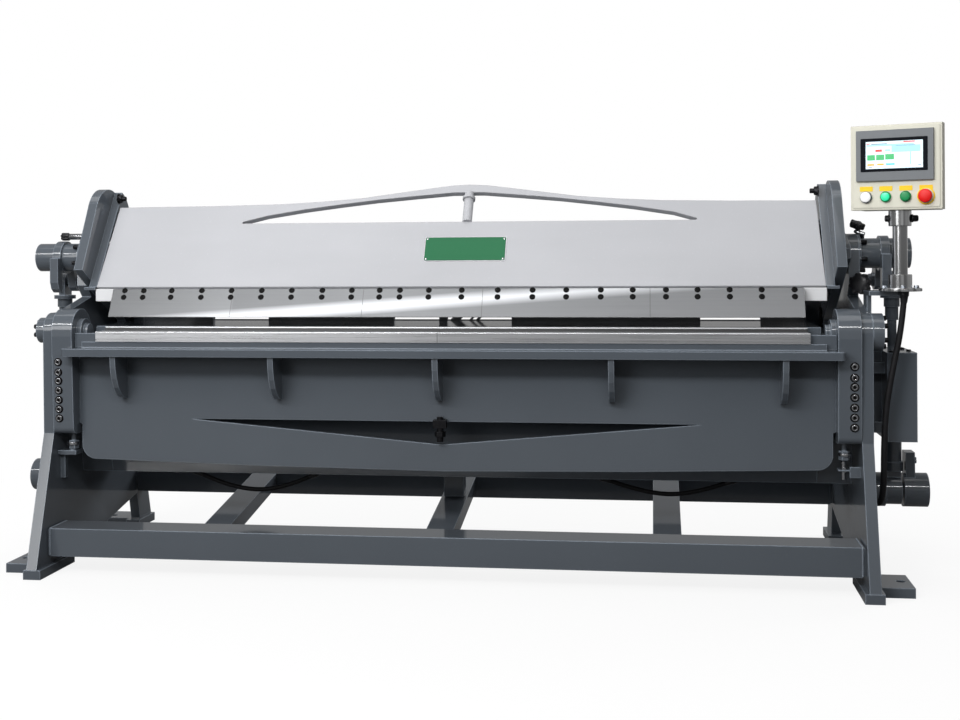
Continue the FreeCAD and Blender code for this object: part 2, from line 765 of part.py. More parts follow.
def clamp_rod(name, side):
    """A cylinder rod with its tapered cap, collar and eye."""
    body = new_body("clamp_rod_" + name, x=f"{side}*rod_x", y="shaft_y+clevis_y",
                    z="shaft_z+clevis_z")
    bottom = -330
    pad(body, "XY", bottom, "-84-(%d)" % bottom, circle=((0, 0), "rod_radius"))
    pad(body, "XY", -116, 40, circle=((0, 2), 18.5))
    pad(body, "XY", -78, 34, circle=((0, 0), 22))
    pad(body, "XY", -53, 11, circle=((0, 0), 32))
    pad(body, "YZ", -9, 20, points=[(-22, -44), (22, -44), (25, 0), (-25, 0)])
    pad(body, "YZ", -9, 20, circle=((0, 0), 25))
    cut(body, "YZ", -9, 20, circles=[((0, 0), "clevis_hole")])
    return body


def clamp_cylinder(name, side):
    """A clamp cylinder with its head, bore, lower eye and pin hole."""
    body = new_body("clamp_cylinder_" + name, x=f"{side}*rod_x", y="shaft_y+clevis_y", z=0)
    top = "barrel_bottom+barrel_length"
    pad(body, "XY", "barrel_bottom", "barrel_length", circle=((0, 0), "barrel_radius"))
    pad(body, "XY", f"{top}-34", 34, circle=((0, 0), "barrel_radius+6"))
    pad(body, "XY", "barrel_bottom", 26, circle=((0, 0), "barrel_radius+4"))
    pad(body, "XY", f"{top}", 6, circle=((0, 0), "rod_radius+8"))
    neck = [(-17, "trunnion_z"), (17, "trunnion_z"), (20, "barrel_bottom+1"), (-20, "barrel_bottom+1")]
    inward_start = -22 if side > 0 else -20
    pad(body, "YZ", inward_start, 42, points=neck)
    pad(body, "YZ", inward_start, 42, circle=((0, "trunnion_z"), 42))
    cut(body, "YZ", inward_start, 42, circles=[((0, "trunnion_z"), "22+running_fit")])
    cut(body, "XY", "barrel_bottom+30", "barrel_length", circles=[((0, 0), "rod_radius+0.1")])
    return body


def cylinder_trunnion(name, side):
    """The stub tube on the side frame that bears the foot of a clamp cylinder."""
    body = new_body("cylinder_trunnion_" + name, y="shaft_y+clevis_y", z="trunnion_z")
    face = "frame_inner+frame_thick"
    pad(body, "YZ", outward(side, face, 14), 14, circle=((0, 0), 72))
    inner = f"rod_x-24-({face})"
    pad(body, "YZ", outward(side, face, inner), inner, circle=((0, 0), "trunnion_tube"))
    pad(body, "YZ", outward(side, "rod_x-30", 70), 70, circle=((0, 0), 22))
    pad(body, "YZ", outward(side, "rod_x+26", 68), 68, circle=((0, 0), "trunnion_tube"))
    ear = [(-30, 20), (30, 20), (26, 110), (-26, 110)]
    pad(body, "YZ", outward(side, "rod_x+31", 26), 26, points=ear)
    bolt_ring(body, outward(side, face + "+14", 10), 10, (0, 0), 61, 6, 6, 30)
    bolt_ring(body, outward(side, "rod_x+57", 8), 8, (0, 84), 0, 9, 1)
    return body


# Cabinet, post and control box

def control_cabinet():
    """The closed cabinet on the right frame with its brackets, side panel and cable gland."""
    body = new_body("control_cabinet")
    block(body, ("frame_inner+frame_thick+51", "post_x+50"), (-234, -19), (381, 619))
    for low in (400, 560):
        block(body, ("frame_inner+frame_thick", "frame_inner+frame_thick+52"), (-196, -166), (low, f"{low}+30"))
    block(body, ("frame_inner+frame_thick", "frame_inner+frame_thick+39"), (-120, -84), (397, 425))
    block(body, ("frame_inner+frame_thick", "frame_inner+frame_thick+52"), (-150, -130), (397, 619))
    return body


def post_bracket():
    """The angle bracket that carries the base disc of the post."""
    body = new_body("post_bracket")
    face = "frame_inner+frame_thick"
    block(body, (face, face + "+12"), (-226, -170), (690, "disc_top-20"))
    block(body, (face, "post_x+19"), (-262, -170), ("disc_top-20", "disc_top-8"))
    return body


def control_post():
    """The upright post: base disc, socket collar, tube and split collar."""
    body = new_body("control_post", x="post_x", y="post_y")
    pad(body, "XY", "disc_top-8", 8, circle=((0, 0), "disc_radius"))
    pad(body, "XY", "disc_top", 36, circle=((0, 0), "post_radius+11"))
    pad(body, "XY", "disc_top+36", "box_bottom-42-disc_top-36", circle=((0, 0), "post_radius"))
    pad(body, "XY", "box_bottom-42", 41.5, circle=((0, 0), "post_radius+10"))
    block(body, (26, 46), (-9, 9), ("box_bottom-34", "box_bottom-10"))
    block(body, (-40, -26), (-9, 9), ("box_bottom-30", "box_bottom-14"))
    for x, y in ((-41, 0), (41, 0), (0, -41), (0, 41)):
        pad(body, "XY", "disc_top", 6, circle=((x, y), 7))
    return body


def turned_body(label):
    """A body on the post axis that is turned with the control box."""
    body = new_body(label, x="post_x", y="post_y", z="box_bottom")
    body.Placement.Rotation = FreeCAD.Rotation(FreeCAD.Vector(0, 0, 1), -10)
    bind(body, "Placement.Rotation.Angle", "box_turn")
    return body


def button_places():
    """Centres of the four push buttons across the box front."""
    return [f"{factor}*button_step" for factor in (-1.5, -0.5, 0.5, 1.5)]


def control_box():
    """The control box with guide bores for its buttons."""
    body = turned_body("control_box")
    front = "-box_depth/2"
    half = "box_half_width"
    block(body, ("-" + half, half), (front, f"{front}+32"), (0, "box_height"))
    rear = (f"-{half}+16", f"{half}-16")
    block(body, rear, (f"{front}+32", "box_depth/2"), (0, "box_height-16"))
    bores = [((place, "button_level"), 8.1) for place in button_places()]
    cut(body, "XZ", front, 22, circles=bores)
    collars = zip(button_places(), (15, 14, 14, 19))
    for place, radius in collars:
        hole = [((place, "button_level"), 8.1)]
        pad(body, "XZ", f"{front}-4", 4, circle=((place, "button_level"), radius), holes=hole)
    return body


def operator_panel():
    """The framed display on the front of the control box."""
    body = turned_body("operator_panel")
    front = "-box_depth/2"
    block(body, (-100, 96), (f"{front}-10", front), (76, 208))
    cut(body, "XZ", f"{front}-10", 3, points=[(-78, 105), (71, 105), (71, 180), (-78, 180)])
    return body


def push_button(label, place, radius, height, stem=8):
    """A push button with the stem that slides in its bore."""
    body = turned_body(label)
    front = "-box_depth/2"
    level = (place, "button_level")
    pad(body, "XZ", f"{front}-{height}", f"{height}-8", circle=(level, radius))
    pad(body, "XZ", f"{front}-10", 24, circle=(level, stem))
    return body


def lock_knobs():
    """The hand knobs on the two frame heads."""
    body = new_body("lock_knobs")
    face = "frame_inner+frame_thick"
    seat = ("shaft_z+shaft_head-0.8", "shaft_z+shaft_head+11")
    block(body, (f"-({face})-14", f"-({face})"), (-66, -42), seat)
    pad(body, "YZ", f"-({face})-53", 53, circle=((-54, "shaft_z+63"), 8))
    pad(body, "YZ", f"-({face})-79", 26, circle=((-54, "shaft_z+63"), 12))
    block(body, (face, face + "+14"), (-66, -42), seat)
    pad(body, "YZ", face + "+7", 18, circle=((-60, "shaft_z+58"), 9))
    pad(body, "XY", "shaft_z+62", 9, circle=((face + "+8", -54), 7))
    block(body, (face + "-17", face + "+27"), (-66, -42), ("shaft_z+70", "shaft_z+86"))
    block(body, (face, face + "+13"), (-112, -88), (786, 812))
    pad(body, "XZ", -125, 14, circle=((face + "+8", 800), 7))
    pad(body, "XZ", -153, 30, circle=((face + "+8", 800), 30))
    return body


# Cables and hoses

def cord_route(points, radius):
    """Straight runs joined by tangent arcs; gives the path, its length and its arc radii."""
    corners = [FreeCAD.Vector(*[value(item) for item in point]) for point in points]
    edges = []
    radii = []
    here = corners[0]
    for index in range(1, len(corners) - 1):
        corner = corners[index]
        back = corners[index - 1] - corner
        ahead = corners[index + 1] - corner
        turn = math.pi - back.getAngle(ahead)
        shorter = min(back.Length, ahead.Length, max(30 * radius, 60))
        bend = 0.45 * shorter / math.tan(turn / 2)
        reach = 0.45 * shorter
        back.normalize()
        ahead.normalize()
        start = corner + back * reach
        end = corner + ahead * reach
        middle_way = (back + ahead).normalize()
        middle = corner + middle_way * (bend / math.cos(turn / 2) - bend)
        if (start - here).Length > 0.001:
            edges.append(Part.LineSegment(here, start).toShape())
        edges.append(Part.Arc(start, middle, end).toShape())
        radii.append(bend)
        here = end
    edges.append(Part.LineSegment(here, corners[-1]).toShape())
    return Part.Wire(edges), radii


def cord(label, points, radius):
    """A round cord swept along its route, and a line that tells its measures."""
    size = value(radius)
    path, radii = cord_route(points, size)
    first = path.Edges[0]
    direction = first.tangentAt(first.FirstParameter)
    circle = Part.Circle(path.Vertexes[0].Point, direction, size)
    ring = Part.Wire([circle.toShape()])
    solid = path.makePipeShell([ring], True, False)
    item = doc.addObject("Part::Feature", label)
    item.Label = label
    item.Shape = solid
    expected = math.pi * size ** 2 * path.Length
    ratio = solid.Volume / expected
    print(label, "length", round(path.Length), "radii", [round(r) for r in radii],
          "volume ratio", round(ratio, 3))
    if not 0.98 < ratio < 1.02:
        raise RuntimeError("the tube of " + label + " is not sound")
    return item


def hoses_and_cable():
    """Two hoses that sag under the bed and the control cable beside the cabinet."""
    hoses = {
        "hose_left": [(-790, -79, 246), (-680, -79, 195), (-520, -79, 191), (-410, -79, 246)],
        "hose_right": [(420, -79, 246), (545, -79, 201), (690, -79, 203), (800, -79, 246)],
    }
    made = [cord(name, points, "hose_radius") for name, points in hoses.items()]
    cable = [
        (1226, -282, "disc_top-8.8"), (1219, -283, 690), (1192, -284, 570), (1172, -284, 440),
        (1170, -283, 212), (1166, -102, 212), (1163, -102, 396.7),
    ]
    made.append(cord("control_cable", cable, "cable_radius"))
    return made


def build():
    """Builds every part and returns the list of them."""
    fill_sheet()
    made = []
    for name, side in SIDES:
        made.append(side_frame(name, side))
    made.append(feet("front_feet", "frame_inner-11", "frame_inner+frame_thick+9", -434, -364, -226, "-anchor_y"))
    made.append(feet("rear_feet", "frame_inner-13", "frame_inner+frame_thick+2", 231, 256, 359, "anchor_y"))
    made.append(tie_beam("front_tie_beam", -367, "tie_depth", 50, "tie_height"))
    made.append(tie_beam("rear_tie_beam", 236, 70, 120, 68))
    made += [cross_members(), bed_beam(), bed_table(), bed_blade(), back_stop()]
    for name, side in SIDES:
        made += [pivot_bearing(name, side), shaft_bearing(name, side)]
        made += [cylinder_trunnion(name, side), leaf_arm(name, side), pivot_pin(name, side)]
        made += [end_plate(name, side), swing_arm(name, side), shaft_lever(name, side)]
        made += [clamp_cylinder(name, side), clamp_rod(name, side)]
    made += [beam_pivot_pins(), leaf_stop(), sensor_bracket(), proximity_sensor()]
    made += [leaf_flange(), leaf_web(), leaf_gussets(), leaf_blade(), crowning_screw()]
    made += [apron_plate(), truss_band(), beam_box(), beam_foot(), nose_blade()]
    made += [clamp_shaft(), shaft_cranks(), control_cabinet(), post_bracket(), control_post()]
    made += [control_box(), operator_panel(), lock_knobs()]
    buttons = (("button_white", 12, 16), ("button_lit", 11, 16), ("button_green", 11, 16),
               ("stop_button", 19, 30))
    for place, (label, radius, height) in zip(button_places(), buttons):
        made.append(push_button(label, place, radius, height))
    made += hoses_and_cable()
    doc.recompute()
    return made


def export(items):
    """Checks every object and writes one file for each part."""
    faults = [thing.Label for thing in doc.Objects
              if "Invalid" in thing.State or "Error" in thing.State]
    if faults:
        raise RuntimeError("not sound: " + ", ".join(faults))
    os.makedirs("parts", exist_ok=True)
    for item in items:
        shape = item.Shape
        if shape.isNull() or not shape.isValid() or shape.Volume <= 0:
            raise RuntimeError("bad shape: " + item.Label)
        shape.exportStep(f"parts/{item.Label}.step")
    print(len(items), "parts written")


export(build())
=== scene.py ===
"""Looks of a hydraulic sheet metal folder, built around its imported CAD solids.

Lengths are in metres in the frame of the CAD model: the origin lies on the floor between the
four anchor holes, X runs right along the fold line, Y to the back and Z up."""

import json
import math

import bmesh
import bpy
from mathutils import Matrix, Vector


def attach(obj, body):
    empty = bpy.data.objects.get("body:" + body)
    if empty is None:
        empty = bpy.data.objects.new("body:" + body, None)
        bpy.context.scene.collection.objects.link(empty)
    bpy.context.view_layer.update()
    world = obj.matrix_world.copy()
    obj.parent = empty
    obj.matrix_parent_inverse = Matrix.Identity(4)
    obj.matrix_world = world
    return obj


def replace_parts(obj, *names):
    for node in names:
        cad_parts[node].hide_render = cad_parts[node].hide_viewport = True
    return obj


bl_info = {
    "name": "Sheet metal folder",
    "version": (1, 0, 0),
    "blender": (4, 5, 0),
    "location": "3D View > Sidebar > Folder",
    "description": "Dresses the solids of a hydraulic sheet metal folder for rendering",
    "category": "Object",
}

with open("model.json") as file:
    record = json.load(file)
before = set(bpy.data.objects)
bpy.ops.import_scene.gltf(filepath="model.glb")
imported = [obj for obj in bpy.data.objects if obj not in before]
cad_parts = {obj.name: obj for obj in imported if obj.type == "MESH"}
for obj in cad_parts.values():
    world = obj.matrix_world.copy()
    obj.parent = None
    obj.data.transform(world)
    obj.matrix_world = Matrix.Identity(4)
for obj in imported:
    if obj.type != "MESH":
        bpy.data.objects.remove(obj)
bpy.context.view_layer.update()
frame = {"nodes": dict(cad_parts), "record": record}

SIDES = (-1, 1)
FRAME_FACE = 1.139

# Centres in Y and Z, and points of the right side that the left one mirrors
FOLD_CENTRE = (-0.280, 0.676)
SHAFT_CENTRE = (-0.054, 0.884)
TRUNNION_CENTRE = (0.0328, 0.207)
HEAD_BOLT = (1.0359, -0.050, 1.061)
LEVER_PIN = (1.1982, 0.0328, 0.8086)
STOP_WASHER = (1.072, -0.284, 0.350)
HINGE_BLOCK = (1.0132, -0.3045, 0.6512)
END_COVER = (1.0352, 0.1103, 0.706)
WELD_X = 1.103

# The apron, the control post with its cabinet, and the control box
APRON_FOOT = Vector((0.040, -0.205, 0.797))
APRON_LEAN = math.radians(32.55)
POST = (1.217, -0.274)
DISC_TOP = 0.7918
DISC_RING = 0.041
CABINET_TOP = 0.6189
CABINET_BOLTS = ((1.252, -0.105), (1.257, -0.170), (1.203, -0.050), (1.203, -0.216))
COLLAR_LEVEL = 0.975
BOX_TURN = Matrix.Rotation(math.radians(-22.9), 4, "Z")
BOX_PLACE = Matrix.Translation((*POST, 0.997)) @ BOX_TURN
BOX_FRONT = -0.0452
BUTTON_LEVEL = 0.034
BUTTON_STEP = 0.0505
DISPLAY_MIDDLE = (-0.002, 0.1427)

# Small steps that keep faces apart, limits of angle, and the seams of the blades
RING_STEP = 0.00002
HAIR = 0.0001
NEARLY_ALONG = 0.9
SHARP_ANGLE = math.radians(32)
SEAM_WIDTH = 0.0006
SEAM_TONE = (0.03, 0.03, 0.03)

# The blades and the leaf's arms: faces in Y and Z, rows of screws, seams and tones along X
NOSE_TOP = (-0.228, 0.792)
NOSE_RUN = (-0.036, -0.078)
NOSE_ROWS = (0.0050, 0.0258)
NOSE_SEAMS = (-0.616, -0.235, 0.103, 0.564)
# Along the nose the tones are partly each ground strip's own tone and partly a painted reflection,
# brighter and darker along X
NOSE_TONES = ((-1, 0.21), (-0.617, 0.27), (-0.615, 0.22), (0.10, 0.25), (0.56, 0.30), (1, 0.36))
# A painted highlight on the nose: a soft bright streak given by where it starts along X, its level
# there, its slope and its width
NOSE_PAINTED_HIGHLIGHT = (-0.62, 0.714, 0.070, 0.022)
LEAF_SEAMS = (-0.007,)
LEAF_TONES = ((-1, 1.0), (-0.3, 0.98), (-0.008, 0.95), (-0.006, 0.88), (1, 1.0))
NOSE_SCREWS = (
    -0.939, -0.882, -0.798, -0.708, -0.620, -0.531, -0.443, -0.354, -0.269, -0.189, -0.131, -0.049,
    0.044, 0.145, 0.242, 0.335, 0.430, 0.517, 0.607, 0.692, 0.778, 0.863, 0.950,
)
# Level below which the bed blade's face is painted black as a shadow
BED_SHADOW_LEVEL = 0.6838
ARM_SCREW_LEVELS = (0.590, 0.561, 0.537, 0.510, 0.483, 0.457, 0.431)
ARM_MIDDLE = 1.0895
ARM_TOP = (-0.3425, 0.662)
ARM_SLOPE = 0.0115 / 0.276
ARM_NORMAL = (0, -1, -0.0417)


def srgb(red, green, blue):
    """Turns a colour of 0 to 255 as a picture holds it into a linear one."""
    def linear(part):
        part /= 255
        return part / 12.92 if part <= 0.04045 else ((part + 0.055) / 1.055) ** 2.4

    return linear(red), linear(green), linear(blue)


def colour_property(name, description, default):
    """A colour that the user may change."""
    return bpy.props.FloatVectorProperty(
        name=name, description=description, subtype="COLOR", size=3, min=0, max=1, default=default
    )


def length_property(name, description, default):
    """A length that the user may change."""
    return bpy.props.FloatProperty(
        name=name, description=description, unit="LENGTH", min=0, precision=4, default=default
    )


class FolderColours(bpy.types.PropertyGroup):
    """Colours of the folder's finishes."""

    slate: colour_property(
        "Slate", "Enamel of the frames, the bed and the leaf", srgb(80, 86, 93)
    )
    pale: colour_property(
        "Pale grey", "Enamel of the apron and the truss band", srgb(177, 178, 182)
    )
    cream: colour_property("Cream", "Powder coat of the control box", srgb(216, 214, 200))
    steel: colour_property("Steel", "Ground steel of the blades", srgb(196, 198, 201))
    bezel: colour_property("Bezel", "Plastic round the display", srgb(110, 114, 118))
    name_plate: colour_property("Name plate", "Enamel of the blank plate", srgb(6, 98, 58))


class FolderSizes(bpy.types.PropertyGroup):
    """Sizes of the folder's small pieces."""

    nose_screw: length_property("Nose screw", "Radius of a nose screw's recess", 0.0083)
    arm_screw: length_property("Arm screw", "Radius of a leaf arm screw's head", 0.0085)
    bearing_screw: length_property("Bearing screw", "Radius of a bearing cap's screws", 0.0068)
    plate_width: length_property("Plate width", "Width of the blank name plate", 0.238)
    plate_height: length_property("Plate height", "Height of the blank name plate", 0.084)


# Shaders


class Socket:
    """A shader value that takes part in Python sums."""

    def __init__(self, graph, output):
        self.graph = graph
        self.output = output

    def math(self, operation, first, second=0.0):
        """Adds one Math node."""
        return self.graph.node("ShaderNodeMath", {"operation": operation}, {0: first, 1: second})

    def __add__(self, other):
        return self.math("ADD", self, other)

    def __sub__(self, other):
        return self.math("SUBTRACT", self, other)

    def __rsub__(self, other):
        return self.math("SUBTRACT", other, self)

    def __mul__(self, other):
        return self.math("MULTIPLY", self, other)

    def __truediv__(self, other):
        return self.math("DIVIDE", self, other)

    def __rtruediv__(self, other):
        return self.math("DIVIDE", other, self)

    __radd__ = __add__
    __rmul__ = __mul__

    def at_most(self, other):
        """The smaller of this and another value."""
        return self.math("MINIMUM", self, other)

    def at_least(self, other):
        """The larger of this and another value."""
        return self.math("MAXIMUM", self, other)

    def above(self, other):
        """One where this is more than the other value, else nought."""
        return self.math("GREATER_THAN", self, other)

    def below(self, other):
        """One where this is less than the other value, else nought."""
        return self.math("LESS_THAN", self, other)

    def unsigned(self):
        """This value without its sign."""
        return self.math("ABSOLUTE", self)


class Graph:
    """A node tree that is written as Python expressions."""

    def __init__(self, tree):
        self.tree = tree
        tree.nodes.clear()

    def node(self, kind, settings=None, values=None, output=0):
        """Adds a node, then its settings, then the values or links of its sockets."""
        made = self.tree.nodes.new(kind)
        for name, setting in (settings or {}).items():
            if name == "stops":
                self.set_stops(made.color_ramp, setting)
            else:
                setattr(made, name, setting)
        for key, item in (values or {}).items():
            self.feed(made.inputs[key], item)
        return Socket(self, made.outputs[output])

    def set_stops(self, ramp, stops):
        """Writes the stops of a colour ramp, each a place and a grey."""
        while len(ramp.elements) < len(stops):
            ramp.elements.new(1.0)
        for element, (place, tone) in zip(ramp.elements, stops):
            element.position = place
            element.color = (tone, tone, tone, 1)

    def feed(self, socket, item):
        """Links a socket, or gives it a number or a colour."""
        if isinstance(item, Socket):
            self.tree.links.new(item.output, socket)
        elif hasattr(item, "__len__") and len(item) == 3 and len(socket.default_value) == 4:
            socket.default_value = (*item, 1)
        else:
            socket.default_value = item

    def mix(self, factor, first, second):
        """Mixes two colours."""
        settings = {"data_type": "RGBA"}
        return self.node("ShaderNodeMix", settings, {0: factor, 6: first, 7: second}, output=2)

    def noise(self, place, scale, detail=2.0):
        """A noise value around one half."""
        values = {"Vector": place, "Scale": scale, "Detail": detail}
        return self.node("ShaderNodeTexNoise", {}, values)

    def place(self):
        """The point in the frame of the object."""
        return self.node("ShaderNodeTexCoord", output="Object")

    def stretched(self, place, scale):
        """The same point with each axis scaled."""
        return self.node("ShaderNodeMapping", {}, {"Vector": place, "Scale": scale})

    def along(self, place, axis):
        """One coordinate of a point."""
        return self.node("ShaderNodeSeparateXYZ", {}, {0: place}, output=axis)


class Finish(Graph):
    """A procedural material around one surface shader."""

    def __init__(self, name):
        self.material = bpy.data.materials.new(name)
        self.material.use_nodes = True
        super().__init__(self.material.node_tree)
        surface = self.node("ShaderNodeBsdfPrincipled")
        self.shader = surface.output.node
        self.sink = self.tree.nodes.new("ShaderNodeOutputMaterial").inputs["Surface"]
        self.tree.links.new(surface.output, self.sink)

    def set(self, **values):
        """Gives the shader's sockets their values; Base_Color stands for Base Color."""
        for name, item in values.items():
            self.feed(self.shader.inputs[name.replace("_", " ")], item)

    def rounded(self, radius):
        """A normal that rounds the edges of the piece."""
        return self.node("ShaderNodeBevel", {"samples": 4}, {"Radius": radius})

    def edge(self, rounded, strength):
        """A mask that grows towards the rounded edges."""
        normal = self.node("ShaderNodeNewGeometry", output="Normal")
        product = {"operation": "DOT_PRODUCT"}
        flat = self.node("ShaderNodeVectorMath", product, {0: rounded, 1: normal}, output="Value")
        return ((1 - flat) * strength).at_most(1.0)

    def bump(self, height, distance, strength=1.0, normal=None):
        """A normal that follows a height value."""
        values = {"Height": height, "Distance": distance, "Strength": strength}
        if normal:
            values["Normal"] = normal
        return self.node("ShaderNodeBump", {}, values)


def tinted(colour, factor):
    """A colour made lighter or darker."""
    return tuple(min(1.0, part * factor) for part in colour)


def enamel(name, colour, gloss=0.34, edge_highlight=0.8, coat_weight=1.0):
    """Sprayed enamel: faint clouding, orange peel, dust specks, and paler edges that are a painted
    highlight.
    """
    coat = Finish(name)
    place = coat.place()
    cloud = coat.noise(place, 3.1, 4.0)
    streak = coat.noise(coat.stretched(place, (1.2, 9.0, 2.0)), 2.0, 3.0)
    peel = coat.noise(place, 520.0, 1.0)
    speck = coat.noise(place, 260.0, 0.0).above(0.78)
    rounded = coat.rounded(0.0042)
    tone = coat.mix(cloud * 0.6 + streak * 0.4, tinted(colour, 0.88), tinted(colour, 1.12))
    tone = coat.mix(speck * 0.12, tone, tinted(colour, 1.6))
    # Painted highlight: the edges are lightened to stand for the bright lines the lamps make on
    # them
    pale_edges = coat.edge(rounded, 11.0) * (0.6 + cloud) * edge_highlight
    tone = coat.mix(pale_edges.at_most(1.0), tone, tinted(colour, 3.8))
    coat.set(
        Base_Color=tone,
        Roughness=gloss - 0.09 + cloud * 0.18,
        Normal=coat.bump(peel, 0.00012, 0.5, rounded),
        Specular_IOR_Level=0.14,
        Coat_Weight=coat_weight,
        Coat_Roughness=0.08,
    )
    return coat.material


def ground_steel(name, colour, seams, tones, roughness=0.24, band=None):
    """Ground steel with a lengthwise grain, hairline seams and soft tones along it; on the nose
    the tones are partly a painted reflection.

    The band is a painted highlight, a soft bright streak of reflection painted into the colour:
    where it starts along X, its level there, its slope and its width."""
    coat = Finish(name)
    place = coat.place()
    along = coat.along(place, "X")
    grain = coat.noise(coat.stretched(place, (3.0, 420.0, 420.0)), 1.0, 3.0)
    smear = coat.noise(coat.stretched(place, (5.0, 14.0, 14.0)), 1.0, 3.0)
    tone = coat.mix(grain, tinted(colour, 0.86), tinted(colour, 1.10))
    tone = coat.mix(smear * 0.35, tone, tinted(colour, 0.72))
    stops = [((x + 1) / 2, grey) for x, grey in tones]
    shade = coat.node("ShaderNodeValToRGB", {"stops": stops}, {0: along / 2 + 0.5})
    multiply = {"data_type": "RGBA", "blend_type": "MULTIPLY"}
    tone = coat.node("ShaderNodeMix", multiply, {0: 1.0, 6: tone, 7: shade}, output=2)
    # Painted highlight: a soft bright streak of the lamps' reflection painted into the colour
    if band:
        start, level, slope, width = band
        rise = coat.along(place, "Z") - ((along - start) * slope + level)
        glow = (1 - rise.unsigned() / width).at_least(0.0)
        tone = coat.mix(glow * 0.7, tone, tinted(colour, 0.95))
    lines = [(along - seam).unsigned().below(SEAM_WIDTH) for seam in seams]
    gap = lines[0]
    for line in lines[1:]:
        gap = gap.at_least(line)
    coat.set(
        Base_Color=coat.mix(gap, tone, SEAM_TONE),
        Metallic=1 - gap,
        Roughness=roughness - 0.06 + grain * 0.16 + smear * 0.06,
        Normal=coat.bump(grain, 0.00003, 0.4, coat.rounded(0.0012)),
    )
    return coat.material


def hardened_steel(name, colour, level):
    """Ground steel of the bed blade, black below a level where the leaf's blade meets it: a
    painted shadow on the strip of its face that lies in shade.
    """
    coat = Finish(name)
    place = coat.place()
    grain = coat.noise(coat.stretched(place, (3.0, 420.0, 420.0)), 1.0, 3.0)
    # Painted shadow: below the level the face is black and not metallic
    above_painted_shadow = coat.along(place, "Z").above(level)
    coat.set(
        Base_Color=coat.mix(above_painted_shadow, (0.010, 0.010, 0.011), tinted(colour, 0.55)),
        Metallic=above_painted_shadow * 0.9,
        Roughness=0.34 + grain * 0.12,
        Normal=coat.bump(grain, 0.00003, 0.4, coat.rounded(0.0010)),
        Specular_IOR_Level=0.3,
    )
    return coat.material


def painted_reflection_steel(name, colour):
    """Steel tube with painted reflections: dark and bright streaks that run along it, painted into
    its colour.
    """
    coat = Finish(name)
    place = coat.place()
    # Painted reflections: these streaks stand for lamps and shade reflected in the tube
    streak = coat.noise(coat.stretched(place, (85.0, 85.0, 0.3)), 1.0, 1.0)
    fine = coat.noise(coat.stretched(place, (900.0, 900.0, 6.0)), 1.0, 1.0)
    dark = ((streak - 0.5) * 7.0 + 0.5).at_least(0.0).at_most(1.0)
    tone = coat.mix(dark, tinted(colour, 0.40), colour)
    coat.set(
        Base_Color=coat.mix(fine * 0.3, tone, tinted(colour, 0.6)),
        Metallic=1.0,
        Roughness=0.15 + fine * 0.08,
        Normal=coat.rounded(0.0008),
    )
    return coat.material


def turned_steel(name, colour, roughness=0.22):
    """Turned or polished steel with fine rings round the upright axis and faint stains."""
    coat = Finish(name)
    place = coat.place()
    rings = coat.noise(coat.stretched(place, (40.0, 40.0, 1400.0)), 1.0, 1.0)
    stain = coat.noise(place, 22.0, 3.0)
    coat.set(
        Base_Color=coat.mix(stain, tinted(colour, 0.82), tinted(colour, 1.08)),
        Metallic=1.0,
        Roughness=roughness - 0.05 + rings * 0.08 + stain * 0.08,
        Normal=coat.bump(rings, 0.00002, 0.3, coat.rounded(0.0008)),
    )
    return coat.material


def black_oxide(name, colour, roughness=0.38):
    """Blackened steel of screws, with paler edges."""
    coat = Finish(name)
    place = coat.place()
    stain = coat.noise(place, 120.0, 2.0)
    rounded = coat.rounded(0.0008)
    pale_edges = coat.edge(rounded, 2.0) * 0.6
    tone = coat.mix(stain, tinted(colour, 0.7), tinted(colour, 1.4))
    coat.set(
        Base_Color=coat.mix(pale_edges, tone, tinted(colour, 6.0)),
        Metallic=0.85,
        Roughness=roughness - 0.08 + stain * 0.16,
        Normal=coat.bump(stain, 0.00005, 0.3, rounded),
    )
    return coat.material


def moulded(name, colour, roughness=0.4, coat_weight=0.0, shine=0.35):
    """Moulded plastic with a fine spark grain and slight clouding."""
    coat = Finish(name)
    place = coat.place()
    cloud = coat.noise(place, 30.0, 2.0)
    skin = coat.noise(place, 900.0, 1.0)
    coat.set(
        Base_Color=coat.mix(cloud, tinted(colour, 0.9), tinted(colour, 1.08)),
        Roughness=roughness - 0.06 + cloud * 0.12,
        Coat_Weight=coat_weight,
        Specular_IOR_Level=shine,
        Normal=coat.bump(skin, 0.00006, 0.35, coat.rounded(0.0008)),
    )
    return coat.material


def lit(name, colour, strength):
    """Plastic that glows from behind, a little brighter in places."""
    coat = Finish(name)
    cloud = coat.noise(coat.place(), 60.0, 2.0)
    tone = coat.mix(cloud, tinted(colour, 0.92), tinted(colour, 1.06))
    coat.set(Base_Color=tone, Emission_Color=tone, Emission_Strength=strength, Roughness=0.25)
    return coat.material


def rubber(name, colour):
    """Black sheathing with a dull, finely ribbed skin and grey dust."""
    coat = Finish(name)
    place = coat.place()
    dust = coat.noise(place, 45.0, 4.0)
    skin = coat.noise(place, 700.0, 1.0)
    coat.set(
        Base_Color=coat.mix(dust * dust, colour, tinted(colour, 2.2)),
        Roughness=0.44 + dust * 0.2,
        Specular_IOR_Level=0.16,
        Normal=coat.bump(skin, 0.0001, 0.4),
    )
    return coat.material


DISPLAY_TONES = {
    "display_white": (srgb(206, 228, 238), 0.55),
    "display_blue": (srgb(150, 204, 226), 0.45),
    "display_red": (srgb(206, 44, 40), 0.35),
    "display_green": (srgb(30, 170, 92), 0.35),
    "display_grey": (srgb(96, 112, 124), 0.5),
    "display_amber": (srgb(236, 164, 50), 0.4),
    "display_cyan": (srgb(90, 190, 218), 0.4),
}


